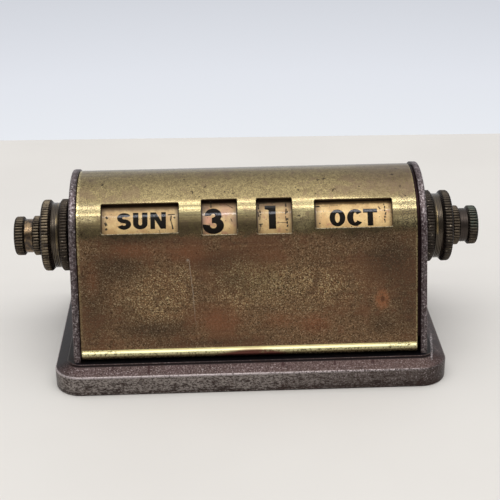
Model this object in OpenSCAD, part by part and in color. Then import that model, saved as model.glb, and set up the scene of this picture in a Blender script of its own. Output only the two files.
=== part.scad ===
// Perpetual desk calendar: four lettered drums behind four windows in a rolled brass hood,
// turned by two pairs of concentric knobs. Millimetres, +Z up, +X to the right, front towards -Y.
// The origin is on the table, under the middle of the base.

/* [Windows] */
// Width of the weekday window and of the month window
wide_window_w = 22; // [18:0.5:26]
// Height of the weekday and month windows, measured straight across
wide_window_h = 8.6; // [7:0.1:10]
// Width of each of the two day windows
digit_window_w = 10.1; // [8:0.1:13]
// Height of the two day windows, measured straight across
digit_window_h = 10.4; // [8.5:0.1:12]
// Height angle of the middle of the windows above the drum axis, degrees
window_angle = 36.8; // [34:0.2:42]
// Brass left between a wide window and the day window beside it
window_gap = 6.7; // [5:0.1:9]
// Brass left between the two day windows
centre_gap = 5.7; // [5:0.1:8]
// Brass left between a wide window and the end of the hood
end_land = 6.75; // [5:0.05:9]
// Corner radius of the windows
window_corner_r = 0.5; // [0.3:0.1:1.5]
// How far the windows and drums sit to the right of the middle
row_shift = -0.35; // [-0.6:0.05:0.6]

/* [Hood] */
// Radius of the end plates' round top
plate_r = 19.5; // [18.5:0.1:22]
// Height of the drum axis above the table
axis_h = 36; // [33:0.5:42]
// Lean of the front and back faces from upright, degrees
lean = 16; // [12:0.5:18]
// How far the end plates stand proud of the brass
plate_proud = 0.5; // [0.3:0.1:1]
// Thickness of the hood's brass sheet
hood_t = 0.5; // [0.4:0.05:0.8]
// Height of the hood's lower edge above the base's plateau
hood_lift = 1.4; // [1:0.1:2.5]
// Outer radius of the curl along the hood's lower edges
curl_r = 1.5; // [1:0.1:2]
// How far the curl turns in, degrees
curl_angle = 115; // [80:5:140]

/* [End plates] */
// Thickness of the end plates' steel sheet
plate_t = 0.8; // [0.6:0.05:1]
// Width of the end plates' visible band
band_w = 2; // [1.7:0.1:3]
// Gap between the band and the end of the brass
groove_w = 0.8; // [0.5:0.1:1.2]
// How far the hood laps over the end plate's inner ledge
ledge_lap = 2.3; // [1.5:0.1:3.5]
// Length of the plate's foot along the base, from the outer face
foot_len = 10; // [9:0.5:12]
// Half width of the plate's foot
foot_half = 22; // [20:0.5:24]

/* [Base] */
// How far the base reaches past each end plate
base_side = 5.8; // [5:0.1:9]
// How far the base reaches past the plates' front and back feet
base_front = 5.2; // [4.6:0.1:9]
// Corner radius of the base
base_corner_r = 8; // [6:0.5:12]
// Height of the base's upright rim
base_rim_h = 5.9; // [5.5:0.1:7]
// Height of the base's flat top
base_top_h = 8.2; // [7.8:0.1:9.5]
// Width of the sloping border between the rim and the flat top
base_bevel_w = 4.2; // [3:0.1:4.5]
// Rounding of the edge between the rim and the sloping border
base_edge_r = 1; // [0.5:0.1:1.5]
// Thickness of the base's steel sheet
base_t = 0.9; // [0.7:0.05:1.1]
// Width of the hem turned in under the base
hem_w = 3.6; // [3:0.1:5]
// Thickness of the card that closes the base
card_t = 1.5; // [1:0.1:1.8]

/* [Knobs] */
// Diameter of the weekday and month knobs
large_knob_d = 21.5; // [19:0.1:24]
// Length of the weekday and month knobs
large_knob_len = 8.7; // [8:0.1:11]
// Diameter of the two day knobs
small_knob_d = 11.8; // [10.5:0.1:14]
// Length of the two day knobs
small_knob_len = 7.7; // [7.5:0.1:9.5]
// Width of a large knob's outer rim
large_rim_w = 2.6; // [2.2:0.1:2.9]
// Width of a small knob's outer rim
small_rim_w = 2.2; // [1.8:0.1:2.4]
// Width of the slope from a rim to the waist
knob_slope_w = 0.8; // [0.5:0.1:1]
// Depth of the waist of the large knobs
large_waist_depth = 1.05; // [0.7:0.05:1.4]
// Depth of the waist of the small knobs
small_waist_depth = 0.85; // [0.6:0.05:1.1]
// Rounding of the rims' outer edges
knob_edge_r = 0.6; // [0.3:0.1:0.9]
// Depth of the dish turned into a small knob's outer face
knob_dish = 0.5; // [0.3:0.1:0.8]
// Gap between a large knob and the small knob outside it
knob_gap = 0.7; // [0.5:0.1:1]

/* [Shafts] */
// Diameter of the spindles that carry the day drums
spindle_d = 4; // [3.6:0.1:4.4]
// Wall of the sleeves that carry the weekday and month drums
sleeve_t = 0.95; // [0.8:0.05:1.2]
// Radial clearance between a shaft and the bore it turns in
run_clear = 0.05; // [0.02:0.01:0.08]
// Sideways clearance between pieces that turn against each other
side_clear = 0.1; // [0.06:0.01:0.2]
// Wall of the bushes
bush_t = 1; // [0.8:0.1:1.3]
// Thickness of a bush's flange, and how far it reaches past the barrel
bush_flange = 0.7; // [0.6:0.1:1]
// Length of an end plate's bush, inside the plate's outer face
bush_len = 3.8; // [3:0.1:5]
// Length of the centre bush
centre_bush_len = 4; // [3.4:0.1:4.4]
// Length of the collars on the sleeves
collar_len = 2.6; // [2:0.1:3]
// Wall of the collars
collar_t = 2.2; // [1.5:0.1:3]
// Free height of the spring washers
washer_h = 0.9; // [0.7:0.1:1.2]
// Thickness of the spring washers
washer_t = 0.3; // [0.2:0.05:0.4]

/* [Drums] */
// Gap between the inside of the hood and the drums' paper bands
label_gap = 1.5; // [1:0.1:2]
// Thickness of the drums' paper bands
label_t = 0.2; // [0.15:0.05:0.3]
// How far a drum's rim stands out past its paper band at each end
label_inset = 0.4; // [0.3:0.1:0.8]
// Thickness of the drums' rims
rim_t = 0.8; // [0.6:0.1:1.1]
// Thickness of the drums' webs
web_t = 1; // [0.8:0.1:1.3]
// Gap between neighbouring drums
drum_gap = 1.3; // [1:0.1:2]
// How far a wide drum reaches past the outer edge of its window
drum_lap = 3.3; // [2.5:0.1:3.6]
// Gap between a day drum and the centre bracket
bracket_gap = 0.75; // [0.5:0.05:1]
// Wall of the drums' hubs
hub_t = 1.4; // [1:0.1:2]
// Length of the wide drums' hubs
wide_hub_len = 10; // [8:0.5:14]
// Length of the day drums' hubs
digit_hub_len = 8; // [6:0.5:9]

/* [Centre bracket] */
// Thickness of the centre bracket's steel sheet
bracket_t = 1; // [0.8:0.1:1.2]
// Radius of the bracket's round top
bracket_r = 5.6; // [5:0.1:7]
// Width of the bracket at the base
bracket_w = 24; // [20:1:30]
// Length of the bracket's foot
bracket_foot = 9; // [8:0.5:11]

/* [Fasteners] */
// Diameter of the plate screws and bracket rivets
screw_d = 2.4; // [2:0.1:2.6]
// Clearance around the screws and rivets in their holes, on the radius
screw_clear = 0.1; // [0.05:0.05:0.2]
// Diameter of the screw heads and rivet heads
head_d = 4.6; // [4:0.1:5]
// Height of the screw heads
head_h = 1.2; // [1:0.1:1.4]
// Width of the nuts across their flats
nut_af = 4.5; // [4.2:0.1:5]
// Height of the nuts
nut_h = 1.8; // [1.5:0.1:2.2]
// Distance of the plate screws from the middle, front to back
screw_y = 15; // [12:0.5:17]
// Distance of the bracket's rivets from the middle, front to back
rivet_y = 8; // [7:0.5:8.5]

/* [Hidden] */
LEFT = -1;
RIGHT = 1;
ROUND = 96;    // segments of a round
PIN_ROUND = 48;
HOLE_ROUND = 32;
ARC = 72;      // segments of the hood's round top
CURL_ARC = 12; // segments of a curl
CUT = 1;       // how far a cutter runs past what it cuts

// Along X, from the middle of the row of windows outwards
digit_window_x = centre_gap/2;
wide_window_x = digit_window_x + digit_window_w + window_gap;
hood_half = wide_window_x + wide_window_w + end_land;
plate_x = hood_half + groove_w + band_w;      // outer face of an end plate
ledge_depth = band_w + groove_w + ledge_lap;  // from the outer face to the end of the ledge

// Hood and end plates: radii from the drum axis, and their feet on the base
hood_r = plate_r - plate_proud;
ledge_r = hood_r - hood_t;
plate_foot_y = hood_y(plate_r, base_top_h);
curl_z = base_top_h + hood_lift + curl_r;     // height of the curl's own centre
ledge_foot_z = curl_z + curl_r;               // the ledge stops above the curl

// Base
base_w = 2*(plate_x + base_side);
base_d = 2*(plate_foot_y + base_front);
floor_z = base_top_h - base_t;                // underside of the base's flat top
card_fit = 0.2;                               // gap around the card

// Shafts
spindle_r = spindle_d/2;
sleeve_in = spindle_r + run_clear;
sleeve_r = sleeve_in + sleeve_t;
bush_in = sleeve_r + run_clear;
bush_r = bush_in + bush_t;
bush_lip = plate_x + bush_flange;             // outer end of an end plate's bush
bush_end = plate_x - bush_len;                // its inner end
centre_bush_in = spindle_r + run_clear;
centre_bush_r = centre_bush_in + bush_t;
spindle_gap = 0.25;                           // half the gap between the two spindles' ends

// Knobs
large_knob_x = bush_lip + side_clear;         // inner face of a large knob
large_knob_end = large_knob_x + large_knob_len;
small_knob_x = large_knob_end + side_clear;   // inner end of a small knob's neck
small_knob_end = large_knob_end + knob_gap + small_knob_len;
sleeve_recess = 0.6;                          // depth of a sleeve's end inside its knob
sleeve_seat = large_knob_len - sleeve_recess; // how deep a sleeve goes into its knob
bore_floor = 2;                               // from a spindle's end to its knob's outer end
spindle_seat = small_knob_len - bore_floor;   // how deep a spindle goes into its knob
dish_land = 1;                                // flat border around a small knob's dish
dish_slope = 1;                               // width of the slope into it

// Drums
band_r = ledge_r - label_gap;                 // outside of the paper bands
drum_r = band_r - label_t;                    // outside of the rims
digit_drum_x0 = bracket_t/2 + bracket_gap;
digit_drum_x1 = digit_window_x + digit_window_w + (window_gap - drum_gap)/2;
wide_drum_x0 = digit_drum_x1 + drum_gap;
wide_drum_x1 = wide_window_x + wide_window_w + drum_lap;
digit_hub_x = centre_bush_len/2 + washer_h + 2*side_clear;
wide_hub_x = (wide_drum_x0 + wide_drum_x1 - wide_hub_len)/2;
hub_end = 0.5;                                // how far a day drum's hub passes its web
digit_web_x = digit_hub_x + digit_hub_len - web_t - hub_end;
wide_web_x = wide_hub_x + (wide_hub_len - web_t)/2;
collar_x = bush_end - washer_h - 2*side_clear; // outer face of a collar

// Fasteners
screw_r = screw_d/2;
hole_r = screw_r + screw_clear;
screw_inset = 3.6;                            // from a screw to the end of its foot
screw_x = plate_x - foot_len + screw_inset;
screw_tip = 0.5;                              // how far a screw passes its nut
rivet_inset = 3.4;                            // from a rivet to the end of the bracket's foot
rivet_x = row_shift - bracket_t/2 + bracket_foot - rivet_inset;

// Distance from the middle plane of a leaning face at height z, for a round top of radius r
function hood_y(r, z) = r*cos(lean) + (axis_h + r*sin(lean) - z)*tan(lean);

// Corner of a polygon at p, between a and b, rounded to radius r
function turn(v) = atan2(v[1], v[0]);
function corner(p, a, b, r, n = 6) =
  let (u = (a - p)/norm(a - p), v = (b - p)/norm(b - p), half = acos(u*v)/2)
  let (c = p + (u + v)/norm(u + v)*r/sin(half))
  let (start = turn(p + u*r/tan(half) - c), sweep = turn(p + v*r/tan(half) - c) - start)
  let (short = sweep > 180 ? sweep - 360 : sweep < -180 ? sweep + 360 : sweep)
  [for (i = [0:n]) c + r*[cos(start + short*i/n), sin(start + short*i/n)]];

// Polygon whose corner i is rounded to radii[i], or left sharp where that is 0
function rounded(points, radii) =
  let (n = len(points))
  [for (i = [0:n - 1]) each radii[i] == 0 ? [points[i]]
    : corner(points[i], points[(i + n - 1) % n], points[(i + 1) % n], radii[i])];

// Mirrors what is drawn on the right to the left
module on_side(side) {
  mirror([side == LEFT ? 1 : 0, 0, 0]) children();
}

// Turned piece on the drum axis, from a profile of [radius, x] points
module turned(profile) {
  translate([0, 0, axis_h]) rotate([0, 90, 0]) rotate_extrude($fn = ROUND) polygon(profile);
}

// Ring on the drum axis
module ring(r_in, r_out, x0, x1) {
  turned([[r_in, x0], [r_out, x0], [r_out, x1], [r_in, x1]]);
}

// Places a drawing of [y, height above the axis, x] in the model
module across() {
  translate([0, 0, axis_h]) rotate([90, 0, 90]) children();
}

// Outline of a hood with a round top of radius r, standing at height foot_z: [y, height above
// the axis] points
function hood_outline(r, foot_z) =
  concat([for (i = [0:ARC]) let (a = lean + (180 - 2*lean)*i/ARC) r*[cos(a), sin(a)]],
    [for (side = [-1, 1]) [side*hood_y(r, foot_z), foot_z - axis_h]]);

// Hood-shaped slab along X
module hood_slab(r, foot_z, x0, x1) {
  translate([x0, 0, 0]) across() linear_extrude(x1 - x0) polygon(hood_outline(r, foot_z));
}

// Solid block with round corners and a sloping border, standing on the table
module bevel_block(w, d, r, rim_h, top_h, edge_r) {
  border = rounded([[r, 0], [r, rim_h], [r - base_bevel_w, top_h]], [0, edge_r, 0]);
  for (side = [0, 1], end = [0, 1]) mirror([side, 0, 0]) mirror([0, end, 0])
    translate([w/2 - r, d/2 - r, 0]) rotate_extrude(angle = 90, $fn = ROUND)
      polygon(concat([[0, 0]], border, [[0, top_h]]));
  rotate([90, 0, 90]) translate([0, 0, r - w/2])
    linear_extrude(w - 2*r) polygon(two_sided(border, d/2 - r));
  rotate([90, 0, 0]) translate([0, 0, r - d/2])
    linear_extrude(d - 2*r) polygon(two_sided(border, w/2 - r));
}

// Outline with the border moved out by shift, and its mirror image on the other side
function two_sided(border, shift) =
  let (n = len(border))
  concat([for (p = border) [p[0] + shift, p[1]]],
    [for (i = [n - 1:-1:0]) [-border[i][0] - shift, border[i][1]]]);

// Flat block with round corners
module round_block(w, d, r, h) {
  corners = [[-w/2, -d/2], [w/2, -d/2], [w/2, d/2], [-w/2, d/2]];
  linear_extrude(h) polygon(rounded(corners, [r, r, r, r]));
}

// Places of the four plate screws and of the two bracket rivets
module at_screws() {
  for (x = [-1, 1], y = [-1, 1]) translate([x*screw_x, y*screw_y, 0]) children();
}
module at_rivets() {
  for (y = [-1, 1]) translate([rivet_x, y*rivet_y, 0]) children();
}

module base_tray() {
  color("dimgray") difference() {
    bevel_block(base_w, base_d, base_corner_r, base_rim_h, base_top_h, base_edge_r);
    translate([0, 0, base_t]) bevel_block(base_w - 2*base_t, base_d - 2*base_t,
      base_corner_r - base_t, base_rim_h - 2*base_t, base_top_h - 2*base_t, base_edge_r/2);
    translate([0, 0, -CUT]) round_block(base_w - 2*hem_w, base_d - 2*hem_w,
      base_corner_r - hem_w + CUT, base_t + 2*CUT);
    at_screws() cylinder(r = hole_r, h = base_top_h + CUT, $fn = HOLE_ROUND);
    at_rivets() cylinder(r = hole_r, h = base_top_h + CUT, $fn = HOLE_ROUND);
  }
}

module base_card() {
  inset = base_t + card_fit;
  color("tan") translate([0, 0, base_t])
    round_block(base_w - 2*inset, base_d - 2*inset, base_corner_r - inset, card_t);
}

// Pressed dish: face, band, step down to the ledge that the hood sits on, and a foot
module end_plate(side) {
  color("slategray") on_side(side) difference() {
    union() {
      difference() {
        union() {
          hood_slab(plate_r, base_top_h, plate_x - band_w, plate_x);
          hood_slab(ledge_r, ledge_foot_z, plate_x - ledge_depth, plate_x - band_w);
        }
        hood_slab(plate_r - plate_t, base_top_h - CUT, plate_x - band_w + plate_t,
          plate_x - plate_t);
        hood_slab(ledge_r - plate_t, base_top_h - CUT, plate_x - ledge_depth - CUT,
          plate_x - plate_t);
      }
      translate([plate_x - foot_len, -foot_half, base_top_h])
        cube([foot_len - plate_t/2, 2*foot_half, plate_t]);
    }
    ring(0, bush_r, plate_x - 2*plate_t, plate_x + CUT);
    at_screws() cylinder(r = hole_r, h = axis_h/2, $fn = HOLE_ROUND);
  }
}

module plate_screws() {
  color("gray") at_screws() {
    translate([0, 0, floor_z - head_h]) cylinder(d = head_d, h = head_h, $fn = PIN_ROUND);
    translate([0, 0, floor_z - head_h/2])
      cylinder(r = screw_r, h = head_h/2 + base_t + plate_t + nut_h + screw_tip, $fn = PIN_ROUND);
  }
}

module plate_nuts() {
  color("gray") at_screws() translate([0, 0, base_top_h + plate_t]) difference() {
    cylinder(r = nut_af/sqrt(3), h = nut_h, $fn = 6);
    translate([0, 0, -CUT]) cylinder(r = screw_r, h = nut_h + 2*CUT, $fn = PIN_ROUND);
  }
}

// Window cutter, from the middle of the row to the right
module window(x, w, h) {
  corners = [[0, -h/2], [w, -h/2], [w, h/2], [0, h/2]];
  radii = [for (c = corners) window_corner_r];
  translate([x, 0, axis_h]) rotate([-window_angle, 0, 0]) translate([0, -hood_r/2, 0])
    rotate([90, 0, 0]) linear_extrude(hood_r) polygon(rounded(corners, radii));
}

// Back half of the hood's section at depth d in the sheet, from the crown to the curl's end
function half_section(d) =
  let (face_h = (axis_h + hood_r*sin(lean) - curl_z - curl_r*sin(lean))/cos(lean))
  let (c = (hood_r - curl_r)*[cos(lean), sin(lean)] + face_h*[sin(lean), -cos(lean)])
  concat([for (i = [0:ARC/2]) let (a = 90 - (90 - lean)*2*i/ARC) (hood_r - d)*[cos(a), sin(a)]],
    [for (i = [0:CURL_ARC]) let (a = lean - curl_angle*i/CURL_ARC)
      c + (curl_r - d)*[cos(a), sin(a)]]);

function reversed(points) = [for (i = [len(points) - 1:-1:0]) points[i]];
function mirrored(points) = [for (p = points) [-p[0], p[1]]];
function without_first(points) = [for (i = [1:len(points) - 1]) points[i]];

module hood() {
  outer = half_section(0);
  inner = half_section(hood_t);
  color("goldenrod") difference() {
    translate([-hood_half, 0, 0]) across() linear_extrude(2*hood_half)
      polygon(concat(reversed(outer), without_first(mirrored(outer)),
        reversed(without_first(mirrored(inner))), inner));
    translate([row_shift, 0, 0]) for (side = [LEFT, RIGHT]) on_side(side) {
      window(digit_window_x, digit_window_w, digit_window_h);
      window(wide_window_x, wide_window_w, wide_window_h);
    }
  }
}

module end_bush(side) {
  color("darkgoldenrod") on_side(side) turned([[bush_in, bush_end], [bush_r, bush_end],
    [bush_r, plate_x], [bush_r + bush_flange, plate_x], [bush_r + bush_flange, bush_lip],
    [bush_in, bush_lip]]);
}

module sleeve(side) {
  color("darkgoldenrod") on_side(side)
    ring(sleeve_in, sleeve_r, side*row_shift + wide_hub_x, large_knob_x + sleeve_seat);
}

module spindle(side) {
  color("gray") on_side(side)
    ring(0, spindle_r, side*row_shift + spindle_gap,
      large_knob_end + knob_gap + spindle_seat);
}

// Outline of a knob of radius r from x0 outwards: rim, slope, waist, slope, rim
function spool(r, depth, x0, x1, rim_w) =
  [[r, x0], [r, x0 + rim_w], [r - depth, x0 + rim_w + knob_slope_w],
    [r - depth, x1 - rim_w - knob_slope_w], [r, x1 - rim_w], [r, x1]];
spool_radii = [knob_edge_r, 0, 0, 0, 0, knob_edge_r];

module large_knob(side) {
  x0 = large_knob_x;
  x1 = large_knob_end;
  seat = x0 + sleeve_seat;
  rims = spool(large_knob_d/2, large_waist_depth, x0, x1, large_rim_w);
  bore = [[sleeve_in, x1], [sleeve_in, seat], [sleeve_r, seat], [sleeve_r, x0]];
  color("saddlebrown") on_side(side)
    turned(rounded(concat(rims, bore), concat(spool_radii, [0, 0, 0, 0])));
}

module small_knob(side) {
  x0 = large_knob_end + knob_gap;
  x1 = small_knob_end;
  seat = x0 + spindle_seat;
  r = small_knob_d/2;
  rims = spool(r, small_waist_depth, x0, x1, small_rim_w);
  floor_x = x1 - knob_dish;
  dish_and_bore = [[r - dish_land, x1], [r - dish_land - dish_slope, floor_x], [0, floor_x],
    [0, seat], [spindle_r, seat], [spindle_r, small_knob_x], [sleeve_r, small_knob_x],
    [sleeve_r, x0]];
  no_radii = [for (p = dish_and_bore) 0];
  color("saddlebrown") on_side(side)
    turned(rounded(concat(rims, dish_and_bore), concat(spool_radii, no_radii)));
}

// Drum with its rim from x0 to x1, a web from web_x and a hub from hub_x
module drum(side, bore_r, x0, x1, web_x, hub_x, hub_len) {
  shift = side*row_shift;
  rim_in = drum_r - rim_t;
  hub_r = bore_r + hub_t;
  profile = [[bore_r, hub_x], [hub_r, hub_x], [hub_r, web_x], [rim_in, web_x], [rim_in, x0],
    [drum_r, x0], [drum_r, x1], [rim_in, x1], [rim_in, web_x + web_t],
    [hub_r, web_x + web_t], [hub_r, hub_x + hub_len], [bore_r, hub_x + hub_len]];
  color("silver") on_side(side) translate([shift, 0, 0]) turned(profile);
}

module wide_drum(side) {
  drum(side, sleeve_r, wide_drum_x0, wide_drum_x1, wide_web_x, wide_hub_x, wide_hub_len);
}

module digit_drum(side) {
  drum(side, spindle_r, digit_drum_x0, digit_drum_x1, digit_web_x, digit_hub_x, digit_hub_len);
}

module band(side, x0, x1) {
  color("wheat") on_side(side)
    translate([side*row_shift, 0, 0]) ring(drum_r, band_r, x0 + label_inset, x1 - label_inset);
}

module collar(side) {
  color("darkgoldenrod") on_side(side)
    ring(sleeve_r, sleeve_r + collar_t, collar_x - collar_len, collar_x);
}

// Coned spring washer around a shaft of radius r, from x0 outwards
module washer(side, r, x0) {
  bore = r + 2*run_clear;
  rim = bore + bush_t + bush_flange/2;
  color("gray") on_side(side) turned([[bore, x0], [bore + washer_t, x0],
    [rim, x0 + washer_h - washer_t], [rim, x0 + washer_h], [rim - washer_t, x0 + washer_h],
    [bore, x0 + washer_t]]);
}

module end_washer(side) {
  washer(side, sleeve_r, bush_end - washer_h - side_clear);
}

module digit_washer(side) {
  washer(side, spindle_r, side*row_shift + centre_bush_len/2 + side_clear);
}

module centre_bracket() {
  x0 = row_shift - bracket_t/2;
  color("slategray") difference() {
    union() {
      ring(0, bracket_r, x0, x0 + bracket_t);
      translate([x0, 0, 0]) rotate([90, 0, 90]) linear_extrude(bracket_t)
        polygon([[-bracket_w/2, base_top_h], [bracket_w/2, base_top_h],
          [bracket_r, axis_h], [-bracket_r, axis_h]]);
      translate([x0, -bracket_w/2, base_top_h])
        cube([bracket_foot, bracket_w, bracket_t]);
    }
    ring(0, centre_bush_r, x0 - CUT, x0 + bracket_t + CUT);
    at_rivets() cylinder(r = hole_r, h = axis_h/2, $fn = HOLE_ROUND);
  }
}

module centre_bush() {
  half = centre_bush_len/2;
  lip = -bracket_t/2;
  flange_r = centre_bush_r + bush_flange;
  color("darkgoldenrod") translate([row_shift, 0, 0]) turned([[centre_bush_in, -half],
    [centre_bush_r, -half], [centre_bush_r, lip - bush_flange], [flange_r, lip - bush_flange],
    [flange_r, lip], [centre_bush_r, lip], [centre_bush_r, half], [centre_bush_in, half]]);
}

module bracket_rivets() {
  top = base_top_h + bracket_t;
  color("gray") at_rivets() {
    translate([0, 0, floor_z - head_h]) cylinder(d = head_d, h = head_h, $fn = PIN_ROUND);
    translate([0, 0, floor_z - head_h/2])
      cylinder(r = screw_r, h = top + head_h/2 - floor_z + head_h/2, $fn = PIN_ROUND);
    translate([0, 0, top]) cylinder(d = head_d, h = head_h/2, $fn = PIN_ROUND);
  }
}

base_tray();
base_card();
end_plate(LEFT);  // left_end_plate
end_plate(RIGHT);  // right_end_plate
plate_screws();
plate_nuts();
hood();
end_bush(LEFT);  // left_bush
end_bush(RIGHT);  // right_bush
sleeve(LEFT);  // left_sleeve
sleeve(RIGHT);  // right_sleeve
spindle(LEFT);  // left_spindle
spindle(RIGHT);  // right_spindle
large_knob(LEFT);  // weekday_knob
small_knob(LEFT);  // tens_knob
small_knob(RIGHT);  // units_knob
large_knob(RIGHT);  // month_knob
wide_drum(LEFT);  // weekday_drum
digit_drum(LEFT);  // tens_drum
digit_drum(RIGHT);  // units_drum
wide_drum(RIGHT);  // month_drum
band(LEFT, wide_drum_x0, wide_drum_x1);  // weekday_band
band(LEFT, digit_drum_x0, digit_drum_x1);  // tens_band
band(RIGHT, digit_drum_x0, digit_drum_x1);  // units_band
band(RIGHT, wide_drum_x0, wide_drum_x1);  // month_band
collar(LEFT);  // left_collar
collar(RIGHT);  // right_collar
end_washer(LEFT);  // left_washer
end_washer(RIGHT);  // right_washer
digit_washer(LEFT);  // tens_washer
digit_washer(RIGHT);  // units_washer
centre_bracket();
centre_bush();
bracket_rivets();
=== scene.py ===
"""Perpetual desk calendar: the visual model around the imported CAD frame.

Lengths are in millimetres along the frame's axes. The drums and knobs turn about the X axis at
height AXIS. Angles are in degrees, and a height angle is taken round that axis from level.
"""
import math
import random

import bpy
from mathutils import Matrix, Vector
from mathutils.geometry import delaunay_2d_cdt

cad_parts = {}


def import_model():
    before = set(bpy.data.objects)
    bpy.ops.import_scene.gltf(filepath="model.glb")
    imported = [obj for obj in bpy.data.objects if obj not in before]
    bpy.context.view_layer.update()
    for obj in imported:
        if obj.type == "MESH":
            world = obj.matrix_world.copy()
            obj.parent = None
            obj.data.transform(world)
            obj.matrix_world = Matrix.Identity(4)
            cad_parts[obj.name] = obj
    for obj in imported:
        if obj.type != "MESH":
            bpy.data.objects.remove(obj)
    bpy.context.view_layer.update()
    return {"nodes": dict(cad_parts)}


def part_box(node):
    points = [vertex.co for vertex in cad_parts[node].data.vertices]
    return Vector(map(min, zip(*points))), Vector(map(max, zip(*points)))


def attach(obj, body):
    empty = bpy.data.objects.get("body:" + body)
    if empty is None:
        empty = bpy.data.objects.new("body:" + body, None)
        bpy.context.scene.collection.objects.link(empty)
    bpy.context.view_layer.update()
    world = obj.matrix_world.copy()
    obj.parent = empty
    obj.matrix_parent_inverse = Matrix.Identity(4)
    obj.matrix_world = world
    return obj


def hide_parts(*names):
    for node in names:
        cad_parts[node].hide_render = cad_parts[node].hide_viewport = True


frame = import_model()

MM = 0.001
AXIS = 36.0          # height of the drum axis
LEAN = 16.0          # lean of the hood's faces
SHIFT = -0.35        # the row of windows sits this far to the right of the middle
HOOD_R = 19.0
HOOD_T = 0.5
BEAD_R = 1.38        # rolled bead along the hood's lower edges
BEAD_IN = 0.5        # its centre lies this far behind the sheet's outer face
BEAD_Z = 9.75


def cos(a):
    return math.cos(math.radians(a))


def sin(a):
    return math.sin(math.radians(a))


# length of the hood's leaning face down to the bead's centre, and that centre's distance from
# the middle
FACE = (AXIS + (HOOD_R - BEAD_IN) * sin(LEAN) - BEAD_Z) / cos(LEAN)
BEAD_F = (HOOD_R - BEAD_IN) * cos(LEAN) + FACE * sin(LEAN)


# ---------------------------------------------------------------- mesh building

def new_object(name, data):
    thing = bpy.data.objects.new(name, data)
    bpy.context.collection.objects.link(thing)
    return thing


class Build:
    """Collects the vertices and faces of one piece."""

    def __init__(self):
        self.verts = []
        self.faces = []
        self.normals = {}    # corner normals of the faces that have their own

    def vert(self, x, y, z):
        self.verts.append((x, y, z))
        return len(self.verts) - 1

    def loop(self, points):
        return [self.vert(*p) for p in points]

    def face(self, corners, normals=None):
        if normals:
            self.normals[len(self.faces)] = normals
        self.faces.append(list(corners))

    def grid(self, rows, closed_rows=False, closed_cols=False):
        """Faces between rows of vertex numbers."""
        n, m = len(rows), len(rows[0])
        for i in range(n if closed_rows else n - 1):
            a, b = rows[i], rows[(i + 1) % n]
            for j in range(m if closed_cols else m - 1):
                k = (j + 1) % m
                self.face((a[j], a[k], b[k], b[j]))

    def radial(self, first, angles):
        """Makes the normals of a closed strip, from face number first on, point away from X."""
        for j, a in enumerate(angles):
            b = angles[(j + 1) % len(angles)]
            self.normals[first + j] = [(0.0, cos(c), sin(c)) for c in (a, b, b, a)]

    def piece(self, name, material, body, replaces=(), sharp=32.0):
        mesh = bpy.data.meshes.new(name)
        mesh.from_pydata([(x * MM, y * MM, z * MM) for x, y, z in self.verts], [], self.faces)
        mesh.validate()
        for polygon in mesh.polygons:
            polygon.use_smooth = True
        mesh.set_sharp_from_angle(angle=math.radians(sharp))
        if self.normals:
            loops = []
            for polygon in mesh.polygons:
                loops += self.normals.get(polygon.index,
                                          [polygon.normal.copy()] * len(polygon.vertices))
            mesh.normals_split_custom_set(loops)
        mesh.materials.append(material)
        thing = new_object(name, mesh)
        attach(thing, body)
        if replaces:
            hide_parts(*replaces)
        return thing


def arc(cx, cy, r, a0, a1, n):
    """Points on an arc from angle a0 to a1."""
    return [(cx + r * cos(a0 + (a1 - a0) * i / n), cy + r * sin(a0 + (a1 - a0) * i / n))
            for i in range(n + 1)]


# ---------------------------------------------------------------- shader building

class Nodes:
    """The nodes of a material or world, built by short calls."""

    def __init__(self, owner):
        owner.use_nodes = True
        self.owner = owner
        self.tree = owner.node_tree
        self.tree.nodes.clear()

    def add(self, kind, inputs=None, **settings):
        node = self.tree.nodes.new(kind)
        for key, value in settings.items():
            setattr(node, key, value)
        for key, value in (inputs or {}).items():
            self.put(node.inputs[key], value)
        return node

    def put(self, socket, value):
        if isinstance(value, bpy.types.NodeSocket):
            self.tree.links.new(value, socket)
        elif socket.type == "RGBA" and len(value) == 3:
            socket.default_value = (*value, 1.0)
        else:
            socket.default_value = value

    def math(self, operation, a, b=0.0, clamp=False):
        return self.add("ShaderNodeMath", {0: a, 1: b}, operation=operation,
                        use_clamp=clamp).outputs[0]

    def plus(self, a, b):
        return self.math("ADD", a, b)

    def times(self, a, b):
        return self.math("MULTIPLY", a, b)

    def both(self, first, *others):
        """Where all of the masks are."""
        for other in others:
            first = self.math("MULTIPLY", first, other, clamp=True)
        return first

    def most(self, first, *others):
        """Where any of the masks is."""
        for other in others:
            first = self.math("MAXIMUM", first, other)
        return first

    def other(self, a):
        """One minus a."""
        return self.math("SUBTRACT", 1.0, a, clamp=True)

    def size(self, a):
        """The number a without its sign."""
        return self.math("ABSOLUTE", a)

    def hypot(self, a, b):
        return self.math("SQRT", self.plus(self.times(a, a), self.times(b, b)))

    def shake(self, value, noise, reach):
        """The value moved up and down by a noise, over a range of reach."""
        return self.plus(value, self.times(self.math("SUBTRACT", noise, 0.5), reach))

    def mask(self, value, low, high, to=1.0):
        """0 where value is at low, `to` where it is at high, smooth between."""
        return self.add("ShaderNodeMapRange", {0: value, 1: low, 2: high, 3: 0.0, 4: to},
                        interpolation_type="SMOOTHSTEP").outputs[0]

    def near(self, value, centre, low, high, to=1.0):
        """Mask of the value's distance from a centre."""
        return self.mask(self.size(self.plus(value, -centre)), low, high, to)

    def mix(self, amount, a, b, blend="MIX"):
        return self.add("ShaderNodeMix", {0: amount, 6: a, 7: b}, data_type="RGBA",
                        blend_type=blend).outputs[2]

    def blend(self, amount, a, b):
        """Number between a and b."""
        return self.add("ShaderNodeMix", {0: amount, 2: a, 3: b}, data_type="FLOAT").outputs[0]


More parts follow.
